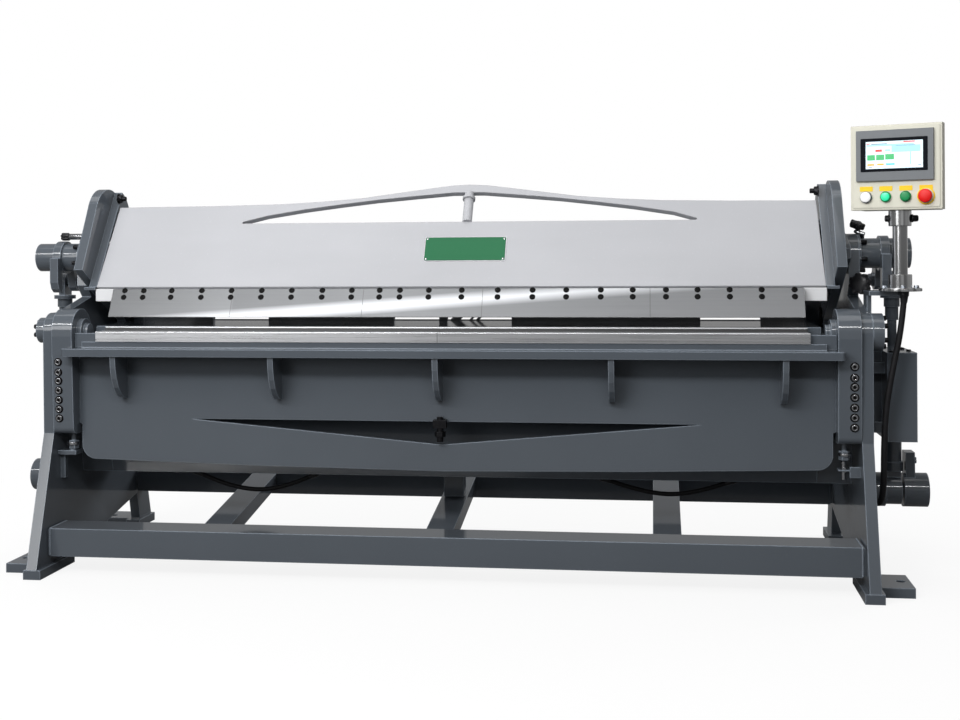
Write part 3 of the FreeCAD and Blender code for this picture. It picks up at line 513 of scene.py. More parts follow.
def finish(name):
    """Finds the material of a finish, and makes it the first time."""
    found = bpy.data.materials.get(name)
    if found:
        return found
    if name in DISPLAY_TONES:
        return lit(name, *DISPLAY_TONES[name])
    colours = bpy.context.scene.folder_colours
    steel = tuple(colours.steel)
    makers = {
        "slate_enamel": lambda: enamel(name, tuple(colours.slate)),
        "pale_enamel": lambda: enamel(name, tuple(colours.pale), 0.45, 0.06, 0.1),
        "foot_enamel": lambda: enamel(name, srgb(216, 217, 219), 0.45, 0.06, 0.1),
        "plate_enamel": lambda: enamel(name, tuple(colours.name_plate), 0.32, 0.05, 0.4),
        "cream_coat": lambda: enamel(name, tuple(colours.cream), 0.46, 0.04, 0.0),
        "nose_steel": lambda: ground_steel(name, steel, NOSE_SEAMS, NOSE_TONES, 0.36, NOSE_PAINTED_HIGHLIGHT),
        "leaf_steel": lambda: ground_steel(name, srgb(235, 236, 239), LEAF_SEAMS, LEAF_TONES),
        "bed_edge": lambda: hardened_steel(name, steel, BED_SHADOW_LEVEL),
        "screw_steel": lambda: turned_steel(name, srgb(138, 143, 150), 0.30),
        "turned_steel": lambda: turned_steel(name, srgb(176, 177, 180)),
        "tube_painted_reflections": lambda: painted_reflection_steel(name, srgb(248, 249, 250)),
        "black_oxide": lambda: black_oxide(name, (0.016, 0.016, 0.018)),
        # Near-black painted as the shade in the nose's counterbores, round the arm screws' heads
        # and in their sockets; the nose screws' heads take it too
        "recess_shade_black": lambda: black_oxide(name, (0.004, 0.004, 0.004), 0.6),
        "bezel_plastic": lambda: moulded(name, tuple(colours.bezel)),
        "dark_plastic": lambda: moulded(name, (0.012, 0.012, 0.014), 0.35),
        "yellow_plastic": lambda: moulded(name, srgb(255, 208, 20), 0.45),
        "screen_black": lambda: moulded(name, (0.004, 0.005, 0.008), 0.5, 0.0, 0.05),
        "white_cap": lambda: moulded(name, srgb(252, 252, 252), 0.3, 0.2),
        "green_cap": lambda: moulded(name, srgb(2, 138, 76), 0.42, 0.1),
        "red_cap": lambda: moulded(name, srgb(228, 14, 12), 0.45, 0.05),
        "lit_green": lambda: lit(name, srgb(40, 206, 150), 0.5),
        "rubber": lambda: rubber(name, (0.009, 0.009, 0.010)),
    }
    return makers[name]()


# Mesh tools


def stack(mesh, place, rings, sides=24):
    """Stands rings on the local Z axis of a place and joins them into a closed body.

    Each ring is a radius, a level and, where it differs, its own number of sides. A hair's
    breadth is added from ring to ring, because rings with one middle may join twisted."""
    loops = []
    for index, (radius, level, *count) in enumerate(rings):
        made = bmesh.ops.create_circle(
            mesh, cap_ends=False, radius=radius, segments=count[0] if count else sides,
            matrix=place @ Matrix.Translation((0, 0, level + index * RING_STEP)),
        )
        loops.append(list({edge for vertex in made["verts"] for edge in vertex.link_edges}))
    for low, high in zip(loops, loops[1:]):
        bmesh.ops.bridge_loops(mesh, edges=low + high)
    for end in (loops[0], loops[-1]):
        bmesh.ops.edgeloop_fill(mesh, edges=end)


def plate(mesh, place, size, corner=0.0):
    """A plate in the local XY plane, its middle at the place, with rounded corners."""
    made = bmesh.ops.create_cube(mesh, size=1, matrix=place @ Matrix.Diagonal((*size, 1)))
    if not corner:
        return
    upright = (place.to_3x3() @ Vector((0, 0, 1))).normalized()
    edges = {item for vertex in made["verts"] for item in vertex.link_edges}
    posts = [
        item for item in edges
        if abs((item.verts[0].co - item.verts[1].co).normalized().dot(upright)) > NEARLY_ALONG
    ]
    bmesh.ops.bevel(
        mesh, geom=posts, offset=corner, offset_type="OFFSET", segments=4, profile=0.5,
        affect="EDGES", material=-1, clamp_overlap=True,
    )


def facing(point, normal, up=(0, 0, 1)):
    """A place whose Z axis points along the normal and whose Y axis leans to up."""
    z_axis = Vector(normal).normalized()
    x_axis = Vector(up).cross(z_axis).normalized()
    y_axis = z_axis.cross(x_axis)
    turn = Matrix((x_axis, y_axis, z_axis)).transposed().to_4x4()
    return Matrix.Translation(point) @ turn


def on_side(side, point):
    """A point of the right side, or its mirror image on the left."""
    return (side * point[0], *point[1:])


def upward(x, y, level):
    """A place that looks straight up."""
    return facing((x, y, level), (0, 0, 1), (0, 1, 0))


def add_piece(name, mesh, finish_name, body):
    """Turns a finished mesh into a piece that rides on a CAD body."""
    bmesh.ops.recalc_face_normals(mesh, faces=mesh.faces)
    data = bpy.data.meshes.new(name)
    mesh.to_mesh(data)
    mesh.free()
    data.shade_smooth()
    data.set_sharp_from_angle(angle=SHARP_ANGLE)
    item = bpy.data.objects.new(name, data)
    bpy.context.scene.collection.objects.link(item)
    data.materials.append(finish(finish_name))
    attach(item, body)
    return item


def socket_head(mesh, place, radius, height, across):
    """A cap screw head with a rounded rim and a six-sided socket."""
    rings = [
        (radius, 0), (radius, height * 0.82), (radius * 0.9, height),
        (across * 1.1, height), (across, height * 0.96, 6), (across, height * 0.35, 6),
    ]
    stack(mesh, place, rings, 20)


def socket_floor(mesh, place, height, across):
    """The shaded floor of a cap screw's socket."""
    stack(mesh, place, [(across * 0.97, height * 0.5, 6), (across * 0.97, height * 0.8, 6)])


def hex_head(mesh, place, radius, height):
    """A six-sided bolt head with a chamfered top on its washer."""
    washer = height * 0.18
    stack(mesh, place, [(radius * 1.25, 0), (radius * 1.25, washer), (radius * 0.9, washer)])
    rings = [(radius, height * 0.1, 6), (radius, height * 0.85, 6), (radius * 0.84, height, 24)]
    stack(mesh, place, rings)


def side_axis(run):
    """An axis that a run doesn't follow."""
    return (1, 0, 0) if abs(run.normalized().x) < NEARLY_ALONG else (0, 1, 0)


def bead(mesh, start, end, radius):
    """A weld bead of many short overlapping ripples between two points."""
    start, end = Vector(start), Vector(end)
    run = end - start
    count = max(2, int(run.length / (radius * 1.6)))
    for index in range(count):
        place = facing(start + run * (index + 0.5) / count, run, side_axis(run))
        made = bmesh.ops.create_icosphere(mesh, subdivisions=1, radius=radius, matrix=place)
        bmesh.ops.scale(mesh, vec=(1, 1, 1.2), space=place.inverted(), verts=made["verts"])


def gland(mesh, point, along, radius, length):
    """A tapered sleeve round a cord where it leaves a housing."""
    rings = [
        (radius * 1.45, -0.002), (radius * 1.5, 0.001), (radius * 1.5, length * 0.35),
        (radius * 1.32, length * 0.4), (radius * 1.12, length * 0.96), (radius * 1.03, length),
    ]
    stack(mesh, facing(point, along, side_axis(along)), rings)


# Pieces


def nose_face(x, low):
    """A place on the nose face, at a distance below its top edge."""
    down = Vector((0, *NOSE_RUN)).normalized()
    normal = Vector((0, down.z, -down.y))
    return facing(Vector((x, *NOSE_TOP)) + down * low + normal * HAIR, normal)


class FOLDER_OT_paint(bpy.types.Operator):
    """Give every solid its finish"""

    bl_idname = "folder.paint"
    bl_label = "Paint the solids"

    def execute(self, context):
        finishes = {
            "slate_paint": "slate_enamel", "light_paint": "pale_enamel",
            "plain_steel": "turned_steel", "dark_steel": "black_oxide",
            "post_steel": "tube_painted_reflections", "box_paint": "cream_coat",
            "panel_plastic": "bezel_plastic", "knob_plastic": "dark_plastic",
            "white_plastic": "white_cap", "lit_plastic": "lit_green",
            "green_plastic": "green_cap", "red_plastic": "red_cap", "cable_rubber": "rubber",
        }
        exceptions = {
            "nose_blade": "nose_steel", "leaf_blade": "leaf_steel", "bed_blade": "bed_edge",
            "bed_table": "slate_enamel", "clamp_rod_left": "slate_enamel",
            "clamp_rod_right": "slate_enamel", "pivot_pin_left": "slate_enamel",
            "pivot_pin_right": "slate_enamel", "beam_foot": "foot_enamel",
        }
        slots = {item["node"]: item["material_slot"] for item in frame["record"]["subparts"]}
        for node, item in frame["nodes"].items():
            item.data.materials.clear()
            item.data.materials.append(finish(exceptions.get(node) or finishes[slots[node]]))
        return {"FINISHED"}


class FOLDER_OT_nose_screws(bpy.types.Operator):
    """Add the two rows of sunk screws along the nose blade"""

    bl_idname = "folder.nose_screws"
    bl_label = "Nose screws"

    def execute(self, context):
        radius = context.scene.folder_sizes.nose_screw
        mesh = bmesh.new()
        heads = bmesh.new()
        for x in NOSE_SCREWS:
            for low in NOSE_ROWS:
                place = nose_face(x, low)
                # A black disc painted as the shade in each screw's counterbore; the head inside
                # takes the same near-black
                stack(mesh, place, [(radius, 0), (radius, 0.0004), (radius * 0.9, 0.0007)])
                socket_head(heads, place, radius * 0.70, 0.0012, radius * 0.36)
        add_piece("nose_screw_recess_shade", mesh, "recess_shade_black", "beam")
        add_piece("nose_screw_heads", heads, "recess_shade_black", "beam")
        return {"FINISHED"}


class FOLDER_OT_arm_screws(bpy.types.Operator):
    """Add the row of cap screws down each leaf arm"""

    bl_idname = "folder.arm_screws"
    bl_label = "Leaf arm screws"

    def execute(self, context):
        radius = context.scene.folder_sizes.arm_screw
        heads = bmesh.new()
        seats = bmesh.new()
        height, socket = 0.005, radius * 0.58
        seat = [(radius * 1.38, 0), (radius * 1.38, 0.0006), (radius * 1.3, 0.001)]
        for side in SIDES:
            for level in ARM_SCREW_LEVELS:
                depth = ARM_TOP[0] + (ARM_TOP[1] - level) * ARM_SLOPE
                place = facing((side * ARM_MIDDLE, depth - HAIR, level), ARM_NORMAL)
                # A black ring round each head is a painted shadow, and a black disc in its socket
                # is painted shade
                stack(seats, place, seat)
                socket_head(heads, place, radius, height, socket)
                socket_floor(seats, place, height, socket)
        add_piece("arm_screw_seat_shade", seats, "recess_shade_black", "leaf")
        add_piece("arm_screws", heads, "turned_steel", "leaf")
        return {"FINISHED"}


class FOLDER_OT_bearing_screws(bpy.types.Operator):
    """Cap the screws of the bearings and of the cylinder trunnions"""

    bl_idname = "folder.bearing_screws"
    bl_label = "Bearing screws"

    def execute(self, context):
        radius = context.scene.folder_sizes.bearing_screw
        mesh = bmesh.new()
        trunnion = (TRUNNION_CENTRE, 0.014, 0.061, 30, radius, 0.0108)
        for side in SIDES:
            cap = (FOLD_CENTRE, 0.029, 0.030 + side * 0.007, 30, radius, 0.0108)
            shaft = (SHAFT_CENTRE, 0.006, 0.0485, 20, 0.0062, 0.0165)
            for centre, proud, ring, turn, head, height in (cap, shaft, trunnion):
                for index in range(6):
                    angle = math.radians(turn + 60 * index)
                    point = (
                        side * (FRAME_FACE + proud - 0.0002),
                        centre[0] + ring * math.cos(angle),
                        centre[1] + ring * math.sin(angle),
                    )
                    socket_head(mesh, facing(point, (side, 0, 0)), head, height, head * 0.5)
        add_piece("bearing_screws", mesh, "black_oxide", "frame")
        return {"FINISHED"}


class FOLDER_OT_beam_bolts(bpy.types.Operator):
    """Add the bolts at the heads of the beam's end plates and the nuts on the levers' pins"""

    bl_idname = "folder.beam_bolts"
    bl_label = "Head bolts and pin nuts"

    def execute(self, context):
        bolts = bmesh.new()
        nuts = bmesh.new()
        for side in SIDES:
            place = facing(on_side(side, HEAD_BOLT), (-side, 0, 0))
            hex_head(bolts, place, 0.0125, 0.012)
            stack(bolts, place, [(0.007, 0.002), (0.007, 0.022), (0.006, 0.0235)])
            place = facing(on_side(side, LEVER_PIN), (-side, 0, 0))
            stack(nuts, place, [(0.0200, 0), (0.0200, 0.004), (0.0185, 0.0050)])
            stack(nuts, place, [(0.0165, 0.004, 6), (0.0165, 0.0125, 6), (0.0145, 0.0140, 24)])
        add_piece("beam_bolts", bolts, "black_oxide", "beam")
        add_piece("lever_nuts", nuts, "screw_steel", "drive")
        return {"FINISHED"}


class FOLDER_OT_lock_knobs(bpy.types.Operator):
    """Shape the three hand knobs that lock the shaft's bearings"""

    bl_idname = "folder.lock_knobs"
    bl_label = "Lock knobs"

    def execute(self, context):
        grips = bmesh.new()
        knobs = (
            ((1.1435, -0.124, 0.800), (-0.55, -0.83, 0.05), 0.0245, 0.0058, 0.026, 8),
            ((1.138, -0.053, 0.955), (0.30, -0.30, 0.90), 0.0155, 0.0066, 0.018, 5),
            ((-1.192, -0.054, 0.947), (-1, 0, 0), 0.0080, 0.0042, 0.024, 6),
        )
        for point, along, ring, lobe, depth, count in knobs:
            self.star(grips, facing(point, along), ring, lobe, depth, count)
        item = add_piece("knob_grips", grips, "dark_plastic", "frame")
        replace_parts(item, "lock_knobs")
        stems = bmesh.new()
        rods = (
            ((-1.139, -0.054, 0.947), (-1, 0, 0), 0.0092, 0.054),
            ((1.139, -0.100, 0.800), (0, -1, 0), 0.0075, 0.026),
            ((1.1395, -0.054, 0.940), (0.28, -0.28, 0.90), 0.0065, 0.018),
            ((1.1395, -0.060, 0.943), (0.88, -0.30, -0.30), 0.0065, 0.022),
        )
        for point, along, radius, length in rods:
            place = facing(point, along, (0, 1, 1))
            stack(stems, place, [(radius, 0), (radius, length * 0.94), (radius * 0.85, length)])
            stack(stems, place, [(radius * 1.35, 0.001), (radius * 1.35, 0.007)])
        add_piece("knob_stems", stems, "turned_steel", "frame")
        return {"FINISHED"}

    def star(self, mesh, place, ring, lobe, depth, count):
        """A hand knob of a hub and round lobes."""
        hub = [
            (ring * 0.95, 0), (ring * 1.02, 0.002), (ring * 1.02, depth - 0.003),
            (ring * 0.85, depth), (ring * 0.5, depth + 0.001),
        ]
        round_lobe = [
            (lobe * 0.8, 0.0006), (lobe, 0.003), (lobe, depth - 0.003),
            (lobe * 0.75, depth - 0.0004),
        ]
        stack(mesh, place, hub)
        for index in range(count):
            angle = 2 * math.pi * (index + 0.3) / count
            step = Matrix.Translation((ring * math.cos(angle), ring * math.sin(angle), 0))
            stack(mesh, place @ step, round_lobe, 16)


class FOLDER_OT_post(bpy.types.Operator):
    """Turn the control post with its collars and add its bolts and the cabinet's"""

    bl_idname = "folder.post"
    bl_label = "Control post"

    def execute(self, context):
        tube = bmesh.new()
        profile = [
            (0.0537, 0.784), (0.055, 0.7853), (0.055, 0.7907), (0.0537, 0.792), (0.0300, 0.792),
            (0.0300, 0.8265), (0.0285, 0.828), (0.0190, 0.828), (0.0190, 0.955), (0.0278, 0.955),
            (0.0290, 0.9562), (0.0290, 0.9950), (0.0280, 0.9963),
        ]
        stack(tube, Matrix.Translation((*POST, 0)), profile, 48)
        item = add_piece("post_tube", tube, "tube_painted_reflections", "frame")
        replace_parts(item, "control_post")
        dark = bmesh.new()
        clamps = ((0.028, -0.010, 1, 0.016), (0.028, 0.010, 1, 0.016), (-0.028, 0, -1, 0.010))
        for x, y, side, reach in clamps:
            point = (POST[0] + x, POST[1] + y, COLLAR_LEVEL)
            hex_head(dark, facing(point, (side, 0, 0)), 0.0085, reach)
        for x, y in CABINET_BOLTS:
            socket_head(dark, upward(x, y, CABINET_TOP), 0.0062, 0.004, 0.003)
        add_piece("post_bolts", dark, "black_oxide", "frame")
        bright = bmesh.new()
        for x, y in ((-DISC_RING, 0), (DISC_RING, 0), (0, -DISC_RING), (0, DISC_RING)):
            hex_head(bright, upward(POST[0] + x, POST[1] + y, DISC_TOP), 0.0070, 0.0072)
        add_piece("disc_bolts", bright, "screw_steel", "frame")
        return {"FINISHED"}


class FOLDER_OT_stops(bpy.types.Operator):
    """Add the leaf arms' washers, the hinge blocks and the covers behind the bed's ends"""

    bl_idname = "folder.stops"
    bl_label = "Stop washers, hinge blocks and end covers"

    def execute(self, context):
        washers = bmesh.new()
        blocks = bmesh.new()
        covers = bmesh.new()
        washer = [(0.0165, 0), (0.0175, 0.0015), (0.0175, 0.007), (0.0165, 0.0085)]
        for side in SIDES:
            stack(washers, upward(*on_side(side, STOP_WASHER)), washer)
            place = upward(*on_side(side, HINGE_BLOCK))
            plate(blocks, place, (0.0684, 0.041, 0.0396), 0.002)
            place = facing(on_side(side, END_COVER), (0, -1, 0))
            plate(covers, place, (0.0494, 0.150, 0.012), 0.002)
        add_piece("stop_washers", washers, "turned_steel", "leaf")
        add_piece("hinge_blocks", blocks, "slate_enamel", "leaf")
        add_piece("bed_end_covers", covers, "slate_enamel", "frame")
        return {"FINISHED"}


class FOLDER_OT_welds(bpy.types.Operator):
    """Lay weld beads where the tie beam meets its end plates"""

    bl_idname = "folder.welds"
    bl_label = "Weld beads"

    def execute(self, context):
        beads = bmesh.new()
        radius = 0.0032
        for side in SIDES:
            x = side * WELD_X
            bead(beads, (x, -0.3665, 0.053), (x, -0.3665, 0.127), radius)
            bead(beads, (x, -0.366, 0.1275), (x, -0.263, 0.1275), radius)
        add_piece("frame_welds", beads, "slate_enamel", "frame")
        return {"FINISHED"}


class FOLDER_OT_name_plate(bpy.types.Operator):
    """Add the blank name plate with its rivets on the apron"""

    bl_idname = "folder.name_plate"
    bl_label = "Blank name plate"

    def execute(self, context):
        sizes = context.scene.folder_sizes
        width, height = sizes.plate_width, sizes.plate_height
        up = Vector((0, math.sin(APRON_LEAN), math.cos(APRON_LEAN)))
        normal = Vector((0, -math.cos(APRON_LEAN), math.sin(APRON_LEAN)))
        middle = APRON_FOOT + up * 0.125
        rim = bmesh.new()
        plate(rim, facing(middle + normal * 0.0004, normal), (width, height, 0.001), 0.006)
        add_piece("name_plate_rim", rim, "turned_steel", "beam")
        field = bmesh.new()
        size = (width - 0.006, height - 0.006, 0.0006)
        plate(field, facing(middle + normal * 0.0011, normal), size, 0.004)
        add_piece("name_plate_field", field, "plate_enamel", "beam")
        rivets = bmesh.new()
        rivet = [(0.0032, 0), (0.003, 0.0008), (0.0018, 0.0015)]
        inset = 0.008
        for x in (inset - width / 2, width / 2 - inset):
            for y in (inset - height / 2, height / 2 - inset):
                place = facing(middle, normal) @ Matrix.Translation((x, y, 0.001))
                stack(rivets, place, rivet, 12)
        add_piece("name_plate_rivets", rivets, "turned_steel", "beam")
        return {"FINISHED"}


def on_box(x, z, proud=0.0):
    """A place on the front of the control box that looks out of it."""
    return BOX_PLACE @ facing((x, BOX_FRONT - proud, z), (0, -1, 0))


def on_button(index, higher=0.0, proud=0.0):
    """The place of one of the four buttons, counted from the left."""
    return on_box((index - 1.5) * BUTTON_STEP, BUTTON_LEVEL + higher, proud)


class FOLDER_OT_display(bpy.types.Operator):
    """Add the box's door and the lit display with its plain colour blocks"""

    bl_idname = "folder.display"
    bl_label = "Display"

    def execute(self, context):
        door = bmesh.new()
        plate(door, on_box(0, 0.111, -0.0007), (0.2225, 0.2125, 0.0013), 0.004)
        add_piece("box_door", door, "cream_coat", "control")
        border = bmesh.new()
        plate(border, on_box(-0.003, 0.1433, 0.0092), (0.170, 0.087, 0.0006), 0.002)
        add_piece("display_border", border, "screen_black", "control")
        ground = bmesh.new()
        plate(ground, on_box(*DISPLAY_MIDDLE, 0.0097), (0.1445, 0.0708, 0.0006))
        add_piece("display_ground", ground, "display_white", "control")
        blocks = (
            ("display_bands", "display_blue",
             [(-0.010, 0.0255, 0.120, 0.0045), (0.030, 0.0150, 0.072, 0.017),
              (0.0415, -0.0100, 0.0030, 0.032), (-0.016, 0.0118, 0.013, 0.0048)]),
            ("display_reds", "display_red",
             [(-0.039, 0.0115, 0.017, 0.0062), (-0.0665, 0.0285, 0.009, 0.0025),
              (0.038, 0.0325, 0.029, 0.0030)]),
            ("display_greens", "display_green",
             [(-0.0586, -0.0062, 0.0200, 0.0142), (-0.0353, -0.0060, 0.0205, 0.0140),
              (-0.0112, -0.0052, 0.0222, 0.0142)]),
            ("display_lines", "display_grey",
             [(-0.038, 0.0290, 0.040, 0.0020), (0.028, 0.0232, 0.050, 0.0016),
              (-0.060, -0.0315, 0.008, 0.0015), (0.064, -0.0285, 0.007, 0.0015)]),
            ("display_keys", "display_amber",
             [(-0.0595, -0.0247, 0.0175, 0.0050), (-0.0345, -0.0243, 0.0170, 0.0050)]),
            ("display_cyans", "display_cyan", [(-0.0095, -0.0245, 0.0216, 0.0050)]),
        )
        for name, finish_name, places in blocks:
            mesh = bmesh.new()
            for x, z, width, height in places:
                place = on_box(DISPLAY_MIDDLE[0] + x, DISPLAY_MIDDLE[1] + z, 0.0102)
                plate(mesh, place, (width, height, 0.0004))
            add_piece(name, mesh, finish_name, "control")
        return {"FINISHED"}


class FOLDER_OT_buttons(bpy.types.Operator):
    """Add the round buttons, their rings and the blank plates above them"""

    bl_idname = "folder.buttons"
    bl_label = "Push buttons"

    def execute(self, context):
        buttons = (
            ("white", "button_white", "white_cap", "screw_steel", 0.0134),
            ("lit", "button_lit", "lit_green", "green_cap", 0.0108),
            ("green", "button_green", "green_cap", "green_cap", 0.0118),
        )
        for index, (tint, node, finish_name, rim_finish, radius) in enumerate(buttons):
            collar = max(radius + 0.0022, 0.0143)
            profile = [
                (collar, 0.0038), (collar, 0.0055), (collar - 0.001, 0.0065),
                (radius + 0.0008, 0.0065), (radius + 0.0006, 0.0042),
            ]
            ring = bmesh.new()
            stack(ring, on_button(index), profile, 32)
            add_piece(f"{tint}_ring", ring, rim_finish, "control")
            dome = [
                (0.0078, -0.010), (0.0078, 0.0082), (radius, 0.0083), (radius, 0.0112),
                (radius * 0.94, 0.0122), (radius * 0.75, 0.0127), (radius * 0.3, 0.0129),
            ]
            cap = bmesh.new()
            stack(cap, on_button(index), dome, 32)
            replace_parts(add_piece(f"{tint}_cap", cap, finish_name, f"{tint}_button"), node)
        mushroom = [
            (0.0078, -0.010), (0.0078, 0.0075), (0.0125, 0.0077), (0.0170, 0.0100),
            (0.0178, 0.0120), (0.0176, 0.0150), (0.0160, 0.0176), (0.0125, 0.0192),
            (0.0060, 0.0199),
        ]
        last = len(buttons)
        stop = bmesh.new()
        stack(stop, on_button(last), mushroom, 36)
        item = add_piece("stop_cap", stop, "red_cap", "red_button")
        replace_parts(item, "stop_button")
        seat = bmesh.new()
        stack(seat, on_button(last), [(0.0225, 0.0002), (0.0225, 0.0012), (0.0218, 0.0016)], 36)
        add_piece("stop_seat", seat, "yellow_plastic", "control")
        labels = bmesh.new()
        for index in range(last + 1):
            place = on_button(index, 0.0215, 0.0004)
            plate(labels, place, (0.0335, 0.0128, 0.0007), 0.0015)
        add_piece("blank_labels", labels, "yellow_plastic", "control")
        return {"FINISHED"}


class FOLDER_OT_cords(bpy.types.Operator):
    """Lay the control cable and the two hoses"""

    bl_idname = "folder.cords"
    bl_label = "Cable and hoses"

    def execute(self, context):
        routes = (
            ("control_cable", 0.008, 0.872, "stiff", "hanging",
             [(1.226, -0.282, 0.7832), (1.219, -0.283, 0.690), (1.192, -0.284, 0.570),
              (1.172, -0.284, 0.440), (1.170, -0.283, 0.212), (1.166, -0.102, 0.212),
              (1.163, -0.102, 0.3967)]),
            ("hose_left", 0.0065, 0.401, "stiff", "hanging",
             [(-0.790, -0.079, 0.246), (-0.680, -0.079, 0.195), (-0.520, -0.079, 0.191),
              (-0.410, -0.079, 0.246)]),
            ("hose_right", 0.0065, 0.394, "stiff", "hanging",
             [(0.420, -0.079, 0.246), (0.545, -0.079, 0.201), (0.690, -0.079, 0.203),
              (0.800, -0.079, 0.246)]),
        )
        sleeves = bmesh.new()
        for _, radius, _, _, _, points in routes:
            for end, neighbour in ((points[0], points[1]), (points[-1], points[-2])):
                gland(sleeves, end, Vector(neighbour) - Vector(end), radius, 0.030)
        add_piece("cord_sleeves", sleeves, "dark_plastic", "frame")
        for node, radius, length, stiffness, lay, points in routes:
            line = bpy.data.curves.new(node + "_line", "CURVE")
            line.dimensions = "3D"
            line.bevel_depth = radius
            line.bevel_resolution = 5
            line.resolution_u = 14
            line.use_fill_caps = True
            spline = line.splines.new("NURBS")
            spline.points.add(len(points) - 1)
            for knot, point in zip(spline.points, points):
                knot.co = (*point, 1)
            spline.order_u = 3
            spline.use_endpoint_u = True
            item = bpy.data.objects.new(node + "_line", line)
            context.scene.collection.objects.link(item)
            line.materials.append(finish("rubber"))
            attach(item, "frame")
            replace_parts(item, node)
        return {"FINISHED"}


# Stage


WHITE = (1, 1, 1)
FADE_START = 1.3
FADE_WIDTH = 0.9
CAMERA_PLACE = (0.5787, -3.698, 0.888)
CAMERA_YAW = 0.1298
CAMERA_ROLL = -0.0055


def light(name, point, target, size, power):
    """A soft square lamp that looks at a point."""
    lamp = bpy.data.lights.new(name, "AREA")
    lamp.shape = "RECTANGLE"
    lamp.size, lamp.size_y = size
    lamp.energy = power
    item = bpy.data.objects.new(name, lamp)
    item.location = point
    look = Vector(target) - Vector(point)
    item.rotation_euler = look.to_track_quat("-Z", "Y").to_euler()
    bpy.context.scene.collection.objects.link(item)
    return item


def floor_material():
    """A pale floor that keeps the object's shadow and fades to plain white."""
    ground = Finish("floor_white")
    length = {"operation": "LENGTH"}
    far = ground.node("ShaderNodeVectorMath", length, {0: ground.place()}, output="Value")
    fade = ((far - FADE_START) / FADE_WIDTH).at_least(0.0).at_most(1.0)
    seen = ground.node("ShaderNodeLightPath", output="Is Camera Ray")
    grain = ground.noise(ground.place(), 40.0)
    pale = ground.mix(grain, (0.84, 0.84, 0.84), (0.87, 0.87, 0.87))
    ground.set(
        Base_Color=ground.mix(seen, (0.16, 0.16, 0.16), pale), Roughness=0.8,
        Specular_IOR_Level=0.1,
    )
    glow = ground.node("ShaderNodeEmission", {}, {"Color": WHITE, "Strength": 1.0})
    surface = Socket(ground, ground.shader.outputs[0])
    factor = seen * (0.86 + fade * 0.14)
    mixed = ground.node("ShaderNodeMixShader", {}, {0: factor, 1: surface, 2: glow})
    ground.tree.links.new(mixed.output, ground.sink)
    return ground.material


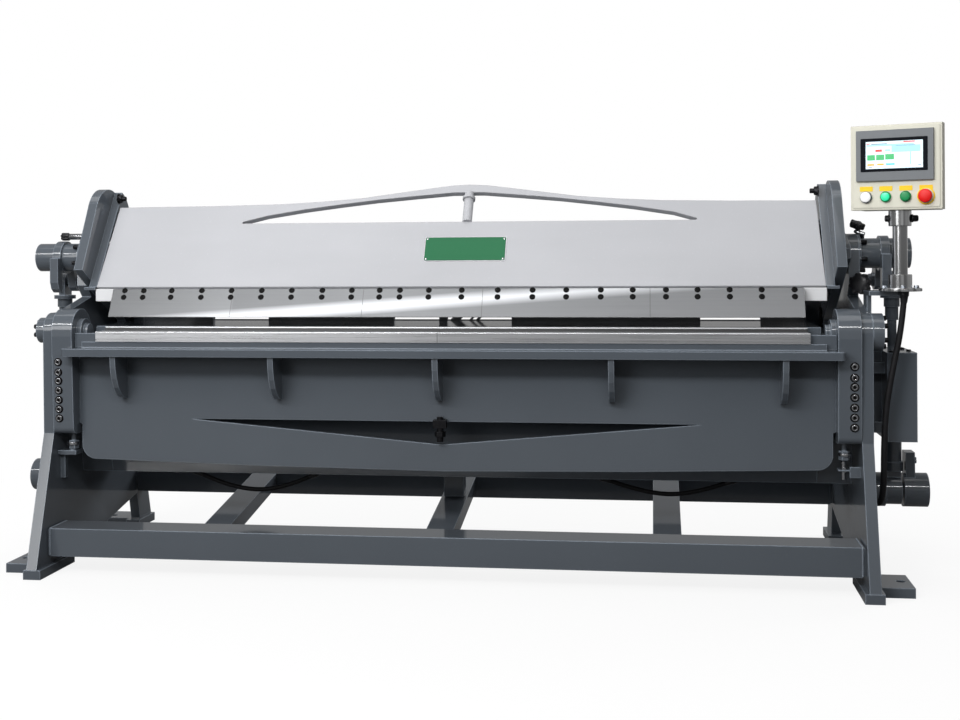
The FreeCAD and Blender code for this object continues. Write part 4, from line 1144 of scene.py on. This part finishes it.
class FOLDER_OT_stage(bpy.types.Operator):
    """Set up the floor, the lamps, the sky and the camera"""

    bl_idname = "folder.stage"
    bl_label = "Stage"

    def execute(self, context):
        scene = context.scene
        mesh = bmesh.new()
        bmesh.ops.create_grid(mesh, x_segments=1, y_segments=1, size=20)
        data = bpy.data.meshes.new("floor")
        mesh.to_mesh(data)
        mesh.free()
        floor = bpy.data.objects.new("floor", data)
        scene.collection.objects.link(floor)
        data.materials.append(floor_material())
        light("overhead_lamp", (-0.2, -0.5, 3.4), (0, -0.1, 0.5), (4.2, 2.0), 42)
        light("upper_lamp", (-1.2, -3.1, 3.2), (-0.1, -0.3, 0.6), (1.9, 2.2), 60)
        light("left_lamp", (-2.3, -4.5, 1.8), (0.1, -0.3, 0.5), (2.0, 1.4), 44)
        light("strip_lamp", (-0.6, -3.2, 2.5), (0, -0.3, 0.7), (5.8, 0.11), 96)
        for name, point, power in (
            ("rear_lamp", (0, 3.8, 3.0), 90),
            ("left_side_lamp", (-3.8, 2.4, 1.9), 60),
            ("right_side_lamp", (3.7, 2.9, 1.9), 80),
        ):
            light(name, point, (0, 0, 0.6), (2.4, 1.6), power).visible_glossy = False
        self.sky(scene)
        self.camera(scene)
        scene.view_settings.view_transform = "Standard"
        return {"FINISHED"}

    def sky(self, scene):
        """A plain sky: white to the camera, dimmer in reflections and dimmest as a lamp."""
        scene.world = bpy.data.worlds.new("sky")
        scene.world.use_nodes = True
        graph = Graph(scene.world.node_tree)
        seen = graph.node("ShaderNodeLightPath", output="Is Camera Ray")
        glossy = graph.node("ShaderNodeLightPath", output="Is Glossy Ray")
        through = graph.node("ShaderNodeLightPath", output="Is Transmission Ray")
        mask = seen.at_least(glossy * 0.22).at_least(through)
        values = {"Color": WHITE, "Strength": 0.08 + mask * 0.92}
        sky = graph.node("ShaderNodeBackground", {}, values)
        sink = graph.tree.nodes.new("ShaderNodeOutputWorld")
        graph.tree.links.new(sky.output, sink.inputs["Surface"])

    def camera(self, scene):
        """A camera a little above the machine, turned to the left and level."""
        data = bpy.data.cameras.new("camera")
        data.sensor_fit = "HORIZONTAL"
        data.sensor_width = 36
        data.lens = 47.25
        data.shift_x = -0.01125
        data.shift_y = -0.1106
        item = bpy.data.objects.new("camera", data)
        ahead = Vector((-math.sin(CAMERA_YAW), math.cos(CAMERA_YAW), 0))
        level = Vector((math.cos(CAMERA_YAW), math.sin(CAMERA_YAW), 0))
        right = level * math.cos(CAMERA_ROLL) + Vector((0, 0, 1)) * math.sin(CAMERA_ROLL)
        turn = Matrix((right, right.cross(ahead), -ahead)).transposed().to_4x4()
        item.matrix_world = Matrix.Translation(CAMERA_PLACE) @ turn
        scene.collection.objects.link(item)
        scene.camera = item


class FOLDER_PT_panel(bpy.types.Panel):
    """Lists the pieces of the folder"""

    bl_idname = "FOLDER_PT_panel"
    bl_label = "Sheet metal folder"
    bl_space_type = "VIEW_3D"
    bl_region_type = "UI"
    bl_category = "Folder"

    def draw(self, context):
        for group in (context.scene.folder_colours, context.scene.folder_sizes):
            for name in group.__annotations__:
                self.layout.prop(group, name)
        for operator in OPERATORS:
            self.layout.operator(operator.bl_idname)


OPERATORS = (
    FOLDER_OT_paint, FOLDER_OT_nose_screws, FOLDER_OT_arm_screws, FOLDER_OT_bearing_screws,
    FOLDER_OT_beam_bolts, FOLDER_OT_lock_knobs, FOLDER_OT_post, FOLDER_OT_stops,
    FOLDER_OT_welds, FOLDER_OT_name_plate, FOLDER_OT_display, FOLDER_OT_buttons,
    FOLDER_OT_cords, FOLDER_OT_stage,
)
CLASSES = (FolderColours, FolderSizes, *OPERATORS, FOLDER_PT_panel)


def register():
    """Makes the classes known and gives the scene its colours and sizes."""
    for item in CLASSES:
        bpy.utils.register_class(item)
    bpy.types.Scene.folder_colours = bpy.props.PointerProperty(type=FolderColours)
    bpy.types.Scene.folder_sizes = bpy.props.PointerProperty(type=FolderSizes)


def unregister():
    """Takes the classes and the scene's properties away."""
    del bpy.types.Scene.folder_sizes
    del bpy.types.Scene.folder_colours
    for item in reversed(CLASSES):
        bpy.utils.unregister_class(item)


def main():
    """Builds every piece and the stage."""
    register()
    for operator in OPERATORS:
        group, name = operator.bl_idname.split(".")
        getattr(getattr(bpy.ops, group), name)()


if __name__ == "__main__":
    main()
